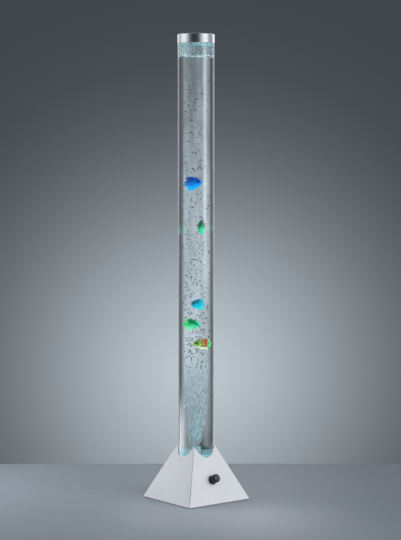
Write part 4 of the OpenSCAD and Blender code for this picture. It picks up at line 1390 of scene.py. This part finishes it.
@dataclass
class ToyFish:
    """A moulded toy fish: full body, fins with rays, round eyes.

    Across, depth and rise give its middle in the turned axes of its lane, turn and tilt are in
    degrees, ragged wears the edges of its fins, and plump and keel shape its section.
    """

    node: str
    markings: Markings
    length: float
    height: float
    across: float
    depth: float
    rise: float
    turn: float = 0.0
    tilt: float = 0.0
    thickness: float = 10 * MM
    full: bool = False
    stations: int = 36
    ring: int = 28
    ragged: float = 0.3
    plump: float = 0.39
    keel: float = 0.25

    def place(self) -> Matrix:
        """Where the fish hangs in the tube."""
        return (
            Matrix.Rotation(LANE_TURN, 4, "Z")
            @ Matrix.Translation((self.across, self.depth, self.rise))
            @ Matrix.Rotation(math.radians(self.turn), 4, "Z")
            @ Matrix.Rotation(math.radians(-self.tilt), 4, "Y")
        )

    def body(self, points: list[Vector], faces: list[list[int]]) -> None:
        """Adds the lofted body, nose towards +X."""
        first = len(points)
        half = self.thickness / 2 - 0.6 * MM
        for i in range(self.stations):
            s = (1 - math.cos(math.pi * i / (self.stations - 1))) / 2
            outline = 0.03 + 0.97 * max(0.0, math.sin(math.radians(172 * s**0.92))) ** 1.3
            girth = 0.05 + 0.95 * max(0.0, math.sin(math.radians(176 * s**0.75))) ** 1.1
            for k in range(self.ring):
                a = math.tau * (k + 0.5) / self.ring
                wide = half * girth * math.cos(a) * abs(math.cos(a)) ** self.keel
                points.append(
                    Vector(
                        (
                            self.length * (0.5 - 0.74 * s),
                            wide,
                            self.plump * self.height * outline * math.sin(a),
                        )
                    )
                )
        n = self.ring
        for i in range(self.stations - 1):
            for k in range(n):
                a, b = first + i * n + k, first + i * n + (k + 1) % n
                faces.append([a, a + n, b + n, b])
        faces.append([first + k for k in range(n)])
        faces.append([first + (self.stations - 1) * n + k for k in range(n - 1, -1, -1)])

    def fin(
        self,
        points: list[Vector],
        faces: list[list[int]],
        outline: Sequence[tuple[float, float]],
        thick: float,
        move: Matrix | None = None,
    ) -> None:
        """Adds a fin, thickest in its middle and thin at its edge.

        Args:
            points: Corners so far.
            faces: Faces so far.
            outline: The fin's edge, in shares of the fish's length and height.
            thick: Thickness at its middle.
            move: Where the fin goes, or None.
        """
        fine = curved(outline)
        middle = [sum(p[j] for p in fine) / len(fine) for j in (0, 1)]
        worn = []
        for i in range(len(fine)):
            nick = 0.5 + 0.5 * math.sin(2.5 * i + 9 * thick / MM)
            worn.append(1.04 - self.ragged * nick * (0.6 + 0.4 * math.sin(0.8 * i)))
        fine = [
            tuple(middle[j] + (p[j] - middle[j]) * w for j in (0, 1)) for p, w in zip(fine, worn)
        ]  # type: ignore[misc]
        fine = [tuple(max(-0.5, min(0.5, value)) for value in p) for p in fine]  # type: ignore[misc]
        first = len(points)
        rings = ((1.0, 0.12), (0.93, 0.55), (0.6, 1.0))
        spots: list[tuple[float, float, float]] = []
        for side in (1, -1):
            for share, full in rings:
                for x, z in fine:
                    spots.append(
                        (
                            (middle[0] + (x - middle[0]) * share) * self.length,
                            side * thick / 2 * full,
                            (middle[1] + (z - middle[1]) * share) * self.height,
                        )
                    )
        spots.append((middle[0] * self.length, thick / 2, middle[1] * self.height))
        spots.append((middle[0] * self.length, -thick / 2, middle[1] * self.height))
        m = len(fine)
        turned = move or Matrix.Identity(4)
        points += [turned @ Vector(s) for s in spots]
        for k in range(m):
            j = (k + 1) % m
            for side, flip in ((0, False), (3, True)):
                for row in range(2):
                    a, b = first + (side + row) * m + k, first + (side + row) * m + j
                    quad = [a, a + m, b + m, b]
                    faces.append(quad[::-1] if flip else quad)
                a, b = first + (side + 2) * m + k, first + (side + 2) * m + j
                cap = [a, first + 6 * m + (1 if flip else 0), b]
                faces.append(cap[::-1] if flip else cap)
            faces.append([first + k, first + j, first + 3 * m + j, first + 3 * m + k])

    def eyes(self, points: list[Vector], faces: list[list[int]]) -> None:
        """Adds a low dome for each eye."""
        for side in (1, -1):
            ball, skin = revolve(
                [(0, -1), (0.6, -0.8), (0.92, -0.4), (1, 0), (0.92, 0.4), (0.6, 0.8), (0, 1)], 14
            )
            first = len(points)
            outwards = side * (self.thickness / 2 - 1.6 * MM)
            centre = Vector((0.27 * self.length, outwards, 0.05 * self.height))
            for x, y, z in ball:
                points.append(centre + Vector((x * 1.5, z * side * 0.7, y * side * 1.5)) * MM)
            faces += [[first + i for i in face] for face in skin]

    def build(self, shop: Shop) -> bpy.types.Object:
        """Makes the fish, hangs it in its lane and stands it in for its plain node."""
        points: list[Vector] = []
        faces: list[list[int]] = []
        self.body(points, faces)
        self.fin(points, faces, FULL_DORSAL if self.full else DORSAL, 1.2 * MM)
        self.fin(points, faces, FULL_ANAL if self.full else ANAL, 1.2 * MM)
        self.fin(points, faces, FULL_TAIL if self.full else TAIL, 1.1 * MM)
        for side in (1, -1):
            flip = Matrix.Scale(side, 4, (0, 1, 0))
            hang = Matrix.Translation(
                (0.1 * self.length, self.thickness / 2 - 2 * MM, -0.08 * self.height)
            )
            splay = Matrix.Rotation(math.radians(-9), 4, "Z")
            self.fin(points, faces, PECTORAL, 1 * MM, flip @ hang @ splay)
        self.eyes(points, faces)
        place = self.place()
        skin = FishSkin(
            f"{self.markings.value}_fish_skin",
            self.markings,
            tuple(place.translation),
            place.to_3x3().to_4x4(),
            self.length,
            self.height,
        )
        piece = shop.piece(f"{self.node}_shape", [place @ p for p in points], faces, skin)
        outward(piece)
        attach(piece, self.node)
        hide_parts(self.node)
        return piece


DORSAL = (
    (0.2, 0.2), (0.1, 0.33), (-0.02, 0.43), (-0.14, 0.49), (-0.26, 0.5), (-0.33, 0.47),
    (-0.27, 0.4), (-0.235, 0.3), (-0.22, 0.18), (-0.2, 0.05), (0.0, 0.1),
)  # fmt: skip
ANAL = (
    (0.12, -0.24), (0.06, -0.36), (-0.06, -0.43), (-0.2, -0.5), (-0.29, -0.49), (-0.25, -0.4),
    (-0.225, -0.28), (-0.21, -0.15), (-0.19, -0.05), (0.0, -0.1),
)  # fmt: skip
TAIL = (
    (-0.18, 0.05), (-0.26, 0.07), (-0.36, 0.15), (-0.5, 0.23), (-0.475, 0.12), (-0.44, 0.0),
    (-0.475, -0.12), (-0.5, -0.23), (-0.36, -0.15), (-0.26, -0.07), (-0.18, -0.05),
)  # fmt: skip
FULL_DORSAL = (
    (0.26, 0.16), (0.15, 0.34), (0.02, 0.45), (-0.12, 0.5), (-0.26, 0.5), (-0.37, 0.42),
    (-0.38, 0.3), (-0.35, 0.17), (-0.29, 0.04), (-0.1, 0.0), (0.06, 0.1),
)  # fmt: skip
FULL_ANAL = (
    (0.17, -0.2), (0.08, -0.37), (-0.04, -0.46), (-0.18, -0.5), (-0.3, -0.47), (-0.37, -0.37),
    (-0.37, -0.25), (-0.34, -0.12), (-0.28, -0.03), (-0.1, 0.0), (0.05, -0.1),
)  # fmt: skip
FULL_TAIL = (
    (-0.22, 0.12), (-0.34, 0.14), (-0.44, 0.21), (-0.5, 0.14), (-0.485, 0.0), (-0.5, -0.14),
    (-0.44, -0.21), (-0.34, -0.14), (-0.22, -0.12),
)  # fmt: skip
PECTORAL = (
    (0.02, 0.03), (-0.06, 0.07), (-0.14, 0.05), (-0.17, -0.03), (-0.1, -0.09), (0.0, -0.05),
)  # fmt: skip

SHOAL = (
    ToyFish(
        node="fish_blue",
        markings=Markings.BLUE,
        length=42 * MM,
        height=37 * MM,
        across=-6.1 * MM,
        depth=-2 * LANE_PITCH,
        rise=820 * MM,
        turn=0,
        tilt=8,
        full=True,
    ),
    ToyFish(
        node="fish_green",
        markings=Markings.GREEN,
        length=34 * MM,
        height=42 * MM,
        across=9.3 * MM,
        depth=23.8 * MM,
        rise=706.5 * MM,
        turn=-90,
        tilt=0,
        thickness=14.5 * MM,
        plump=0.47,
        keel=0.85,
    ),
    ToyFish(
        node="fish_turquoise",
        markings=Markings.TURQUOISE,
        length=36 * MM,
        height=29 * MM,
        across=4 * MM,
        depth=-3 * LANE_PITCH,
        rise=510 * MM,
        turn=180,
        tilt=1,
        full=True,
    ),
    ToyFish(
        node="fish_lime",
        markings=Markings.LIME,
        length=37 * MM,
        height=30 * MM,
        across=-9.1 * MM,
        depth=-1 * LANE_PITCH,
        rise=456 * MM,
        turn=0,
        tilt=-4,
        full=True,
    ),
    ToyFish(
        node="fish_striped",
        markings=Markings.STRIPED,
        length=38 * MM,
        height=31 * MM,
        across=11.6 * MM,
        depth=0,
        rise=404 * MM,
        turn=180,
        tilt=4,
        full=True,
    ),
)


def outward(piece: bpy.types.Object) -> None:
    """Turns the faces of a piece outwards."""
    work = bmesh.new()
    work.from_mesh(piece.data)
    bmesh.ops.recalc_face_normals(work, faces=work.faces)
    work.to_mesh(piece.data)
    work.free()


@dataclass
class Finished:
    """A sub-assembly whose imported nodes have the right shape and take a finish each."""

    title: str
    finishes: dict[str, Finish]

    def dress(self, shop: Shop) -> None:
        """Gives each node its finish."""
        LOG.info("%s", self.title)
        for node, finish in self.finishes.items():
            shop.coat(node, finish)


BASE = Finished(
    "base",
    {
        "base_cover_front": WHITE_COAT,
        "base_cover_rear": WHITE_COAT,
        "seam_strips": SEAM_SHADE_COAT,
        "base_plate": ZINC,
        "base_screws": SCREW_STEEL,
        "holder_screws": SCREW_STEEL,
        "rubber_feet": RUBBER,
        "tube_holder": HOLDER,
    },
)
COLUMN = Finished(
    "tube, plug and lights",
    {
        "tube": CLEAR_TUBE,
        "bottom_plug": CLEAR_PLUG,
        "plug_seal": PLUG_SEAL,
        "air_stone": STONE,
        "led_board": LIGHT_BOARD,
        "leds": CHIP,
        "led_board_screws": SCREW_STEEL,
    },
)
PUMP = Finished(
    "air pump and air line",
    {
        "pump_case": PUMP_BLACK,
        "pump_lid": PUMP_BLACK,
        "pump_core": CORE,
        "pump_coil": COIL,
        "pump_lever": LEVER,
        "pump_magnet": MAGNET,
        "pump_pin": SCREW_STEEL,
        "pump_valve_block": VALVE,
        "pump_diaphragm": RUBBER,
        "pump_pads": RUBBER,
        "pump_screws": SCREW_STEEL,
        "check_valve": VALVE,
        "valve_clip": CLIP,
        "air_hose_lower": HOSE,
        "air_hose_upper": HOSE,
    },
)
CONTROL = Finished(
    "control, knob and power",
    {
        "control_board": BOARD,
        "board_components": PARTS,
        "board_standoffs": BRASS,
        "board_screws": SCREW_STEEL,
        "potentiometer": CONTROL_BODY,
        "control_nut": SCREW_STEEL,
        "control_shaft": SCREW_STEEL,
        "knob": KNOB_BLACK,
        "knob_cap": KNOB_DISC,
        "power_inlet": INLET_BLACK,
        "inlet_nut": SCREW_STEEL,
        "inlet_lead": LEAD_BLACK,
        "pump_lead": LEAD_BLACK,
        "led_lead": LEAD_WHITE,
        "dial_lead": LEAD_GREY,
    },
)
CAP = Finished(
    "cap",
    {"cap_shell": BRIGHT_CAP, "cap_insert": INSERT, "cap_seal": RUBBER},
)


def towards(bearing: float, distance: float, height: float) -> Vector:
    """A place seen from the tube's axis.

    Args:
        bearing: Degrees from the camera's direction, positive to the right of the picture.
        distance: Distance from the axis.
        height: Height above the floor.

    Returns:
        The place, in metres.
    """
    turn = math.radians(bearing)
    x, y = AXIS_TO_CAMERA
    across = x * math.cos(turn) - y * math.sin(turn)
    along = y * math.cos(turn) + x * math.sin(turn)
    return Vector((across * distance, along * distance, height))


def seen_rays(bench: Bench) -> Reading:
    """1 for rays from the camera, a reflection or a refraction, else 0."""
    rays = bench.node("ShaderNodeLightPath")
    camera, glossy, through = (
        Reading(bench, rays.outputs[f"Is {kind} Ray"])
        for kind in ("Camera", "Glossy", "Transmission")
    )
    return bench.maths("MAXIMUM", bench.maths("MAXIMUM", camera, glossy), through)


@dataclass
class Softbox:
    """A soft lamp that lights matt surfaces, and is itself out of sight."""

    name: str
    bearing: float
    distance: float
    height: float
    width: float
    tall: float
    power: float
    tint: tuple[float, float, float] = (1.0, 1.0, 1.0)

    def hang(self) -> None:
        """Adds the lamp, facing the tube at its own height."""
        data = bpy.data.lights.new(self.name, "AREA")
        data.shape = "RECTANGLE"
        data.size = self.width
        data.size_y = self.tall
        data.energy = self.power
        data.color = self.tint
        lamp = bpy.data.objects.new(self.name, data)
        lamp.location = towards(self.bearing, self.distance, self.height)
        lamp.rotation_mode = "QUATERNION"
        lamp.rotation_quaternion = towards(self.bearing, 1, 0).to_track_quat("Z", "Y")
        lamp.visible_camera = False
        lamp.visible_glossy = False
        lamp.visible_transmission = False
        bpy.context.scene.collection.objects.link(lamp)


@dataclass(frozen=True)
class PanelGap:
    """A dark stretch between the white panels round the set, by bearing in degrees."""

    left_edge: float
    dark_from: float
    dark_to: float
    right_edge: float
    depth: float

    def darkness(self, bearing: Reading) -> Reading:
        """How much tone a bearing loses."""
        begun = bearing.between(self.left_edge, self.dark_from)
        return begun * bearing.between(self.right_edge, self.dark_to) * self.depth


PANEL_TONE = 0.941
RIGHT_PANEL_EXTRA = 0.043
PANEL_TINT: Colour = (0.98, 1.03, 1.08, 1.0)
GAP_TINT: Colour = (0.002, 0.005, 0.009, 1.0)
PANEL_GAPS = (
    PanelGap(left_edge=-76, dark_from=-18, dark_to=2, right_edge=56, depth=0.76),
    PanelGap(left_edge=-150, dark_from=-122, dark_to=-120, right_edge=-86, depth=0.267),
    PanelGap(left_edge=68, dark_from=95, dark_to=104, right_edge=143, depth=0.44),
)
INNER_LOSS = 0.85


@dataclass
class Studio:
    """Floor, backdrop, lamps and the camera at the photograph's angle."""

    camera_place: Point = (-2.588, -3.302, 0.870)
    focal_pixels: float = 1627.0
    frame_height: int = 540
    pitch: float = math.radians(-3.74)
    yaw: float = math.radians(0.1525)
    wall_behind: float = 0.485
    wall_wide: float = 2.6
    wall_high: float = 3.0
    glow_height: float = 0.27

    def build(self) -> None:
        """Sets up everything that isn't part of the lamp."""
        self.camera()
        self.air()
        self.floor()
        self.backdrop()
        for lamp in self.lamps():
            lamp.hang()
        bpy.context.scene.view_settings.view_transform = "Standard"

    def camera(self) -> None:
        """Adds the camera."""
        data = bpy.data.cameras.new("camera")
        data.sensor_width = 36.0
        data.lens = self.focal_pixels * data.sensor_width / self.frame_height
        camera = bpy.data.objects.new("camera", data)
        bpy.context.scene.collection.objects.link(camera)
        x, y = -AXIS_TO_CAMERA[0], -AXIS_TO_CAMERA[1]
        ahead = Vector(
            (
                x * math.cos(-self.yaw) - y * math.sin(-self.yaw),
                x * math.sin(-self.yaw) + y * math.cos(-self.yaw),
                0,
            )
        ).normalized() * math.cos(self.pitch)
        ahead.z = math.sin(self.pitch)
        camera.location = self.camera_place
        camera.rotation_mode = "QUATERNION"
        camera.rotation_quaternion = ahead.to_track_quat("-Z", "Y")
        bpy.context.scene.camera = camera

    def air(self) -> None:
        """The dark studio round the set, and its faint even light.

        Water fills the tube, so its inner wall hardly mirrors the room.
        """
        world = bpy.data.worlds.new("studio_air")
        bpy.context.scene.world = world
        world.use_nodes = True
        bench = Bench(world.node_tree)
        bench.tree.nodes.clear()
        way = bench.node("ShaderNodeTexCoord").outputs["Generated"]
        split = bench.node("ShaderNodeSeparateXYZ", {}, {0: way})
        x, y, up = (Reading(bench, socket) for socket in split.outputs)
        low = bench.blend(up.between(0.0, 0.16), paint(104, 111, 118), paint(74, 80, 86))
        room = bench.blend(up.between(0.12, 0.4), low, paint(58, 63, 69))
        even = bench.node("ShaderNodeBackground", {}, {0: (0.86, 0.9, 0.95, 1), 1: 0.3})
        rays = bench.node("ShaderNodeLightPath").outputs
        through = Reading(bench, rays["Transmission Depth"]).above(0.5)
        inner = Reading(bench, rays["Glossy Depth"]).above(0.5) * through
        shown = bench.node("ShaderNodeBackground", {}, {0: room, 1: 1 - inner * INNER_LOSS})
        mixed = bench.node(
            "ShaderNodeMixShader",
            {},
            {0: seen_rays(bench), 1: even.outputs[0], 2: shown.outputs[0]},
        )
        gloss = Reading(bench, rays["Is Glossy Ray"]) * (1 - through * INNER_LOSS)
        sharp = Reading(bench, rays["Is Singular Ray"]) * (1 - through)
        panels = self.panels(bench, x, y, up, sharp)
        last = bench.node(
            "ShaderNodeMixShader", {}, {0: gloss, 1: mixed.outputs[0], 2: panels.outputs[0]}
        )
        bench.node("ShaderNodeOutputWorld", {}, {0: last.outputs[0]})

    def panels(
        self, bench: Bench, x: Reading, y: Reading, up: Reading, sharp: Reading
    ) -> bpy.types.Node:
        """The bright panels round the set that polished surfaces show, by compass bearing.

        Args:
            bench: The world's tree.
            x: The looked-at direction's X.
            y: Its Y.
            up: Its Z.
            sharp: 1 for rays straight off a mirror-smooth surface, else 0.

        Returns:
            The shader seen in reflections.
        """
        ahead = x * AXIS_TO_CAMERA[0] + y * AXIS_TO_CAMERA[1]
        bearing = bench.maths("ARCTAN2", rightward(x, y), ahead) / math.tau * 360
        slope = up / (x * x + y * y) ** 0.5
        tone = PANEL_TONE + bearing.between(-60, 60) * RIGHT_PANEL_EXTRA
        for gap in PANEL_GAPS:
            tone = tone - gap.darkness(bearing)
        pattern = bench.blend(tone**2.2, GAP_TINT, PANEL_TINT)
        lights = self.tube_light(bearing, slope) * 6.0 + self.low_light(bearing, slope) * 10.0
        sides = slope.magnitude().between(1.3, 0.5) * 0.75 + 0.4
        strength = sides + (lights - self.left_fade(bearing, slope)) * sharp
        return bench.node("ShaderNodeBackground", {}, {0: pattern, 1: strength})

    def tube_light(self, bearing: Reading, slope: Reading) -> Reading:
        """The tall lamp ahead on the right, whose line runs down the tube and ends at its top."""
        wide = (bearing - 58).magnitude().between(22, 3)
        return wide * slope.between(-0.115, 0.0) * slope.between(0.0735, 0.0705)

    def low_light(self, bearing: Reading, slope: Reading) -> Reading:
        """The low lamp behind on the left, whose gleam shows at the foot of the tube."""
        wide = bearing.between(-60, -106) + bearing.between(-100, -122) * 0.65
        wide = wide * bearing.between(-134, -128)
        return wide * slope.between(-0.138, -0.168) * slope.between(-0.183, -0.177)

    def left_fade(self, bearing: Reading, slope: Reading) -> Reading:
        """How much the lower part of the left panel is dimmed for mirror-smooth surfaces."""
        return (bearing + 75).magnitude().between(52, 30) * slope.between(0.045, 0.0) * 0.6

    def floor(self) -> None:
        """The grey floor, with a painted pool of light in front of the base and painted shade
        towards both sides.
        """
        shade = Shade("studio_floor")
        grain = shade.noise(shade.spot(), 30, 4, 0.6)
        tone = shade.blend(grain.between(0.35, 0.7), paint(138, 146, 155), paint(135, 143, 152))
        x, y, _ = shade.parts(shade.spot(tuple(towards(22, 0.215, 0))))
        pool = ((x * x + y * y) ** 0.5).between(0.38, 0.04)
        tone = shade.blend(pool, tone, paint(167, 174, 184))
        x, y, _ = shade.parts(shade.spot())
        aside = rightward(x, y)
        # Painted shade: the floor darkens towards the left, and more towards the right.
        ends = aside.between(0.13, 0.62) * 0.94 + aside.between(-0.04, -0.36) * 0.3
        tone = shade.blend(ends, tone, paint(88, 98, 108))
        shade.close(shade.surface(Base_Color=tone, Roughness=0.55, Specular_IOR_Level=0.25))
        wide = 30.0
        corners = [(-wide, -wide, 0), (wide, -wide, 0), (wide, wide, 0), (-wide, wide, 0)]
        self.sheet("floor", corners, shade).visible_glossy = False

    def backdrop(self) -> None:
        """A paper wall with a pool of light low behind the lamp; it shows only from its front.

        Seen through the water it is stretched sideways and a fifth darker.
        """
        shade = Shade("studio_backdrop")
        x, y, z = shade.parts(shade.spot())
        across = rightward(x, y)
        bent = Reading(shade, shade.node("ShaderNodeLightPath").outputs["Is Transmission Ray"])
        across = across + across ** 3.0 * bent * (z.between(0.62, 0.34) * 4.5 + 5.6)
        rise = z - self.glow_height
        away = (across * across + rise * rise) ** 0.5
        pool = away.bell(0.4905) * 0.93 + away.bell(0.1766) * 0.07
        glow = shade.blend(pool, paint(63, 70, 75.5), paint(187, 197, 205))
        paper = shade.node("ShaderNodeEmission", {}, {0: glow, 1: 1 - bent * 0.2})
        behind = shade.node("ShaderNodeNewGeometry").outputs["Backfacing"]
        nothing = shade.node("ShaderNodeBsdfTransparent")
        shade.close(
            shade.node(
                "ShaderNodeMixShader", {}, {0: behind, 1: paper.outputs[0], 2: nothing.outputs[0]}
            )
        )
        centre = towards(180, self.wall_behind, 0)
        side = towards(90, self.wall_wide, 0)
        top = Vector((0, 0, self.wall_high))
        corners = [centre - side, centre + side, centre + side + top, centre - side + top]
        wall = self.sheet("backdrop", corners, shade)
        wall.visible_diffuse = False
        wall.visible_glossy = False
        wall.visible_shadow = False

    def sheet(
        self, name: str, corners: Sequence[Sequence[float]], shade: Shade
    ) -> bpy.types.Object:
        """Adds a flat stage sheet.

        Args:
            name: The sheet's name.
            corners: Its four corners, in order.
            shade: The shader tree of its material.

        Returns:
            The new object.
        """
        mesh = bpy.data.meshes.new(name)
        mesh.from_pydata([tuple(c) for c in corners], [], [(0, 1, 2, 3)])
        mesh.materials.append(shade.material)
        sheet = bpy.data.objects.new(name, mesh)
        bpy.context.scene.collection.objects.link(sheet)
        return sheet

    def lamps(self) -> Iterable[Softbox]:
        """The soft lamps: a broad one on each side, the right one stronger."""
        yield Softbox(
            name="right_softbox",
            bearing=54,
            distance=2.3,
            height=1.3,
            width=1.9,
            tall=2.1,
            power=52.5,
        )
        yield Softbox(
            name="left_softbox",
            bearing=-100,
            distance=0.85,
            height=0.6,
            width=0.6,
            tall=0.9,
            power=6.8,
            tint=(0.98, 0.99, 1.0),
        )


def main() -> None:
    """Builds the lamp's looks in order, from the floor up."""
    logging.basicConfig(level=logging.INFO, format="%(name)s: %(message)s", stream=sys.stdout)
    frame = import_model()
    Studio().build()
    shop = Shop(frame)
    for assembly in (BASE, COLUMN, PUMP, CONTROL, CAP):
        assembly.dress(shop)
    WaterFill().build(shop)
    for fish in SHOAL:
        fish.build(shop)
    LOG.info("%d pieces made", len(shop.made))


if __name__ == "__main__":
    main()
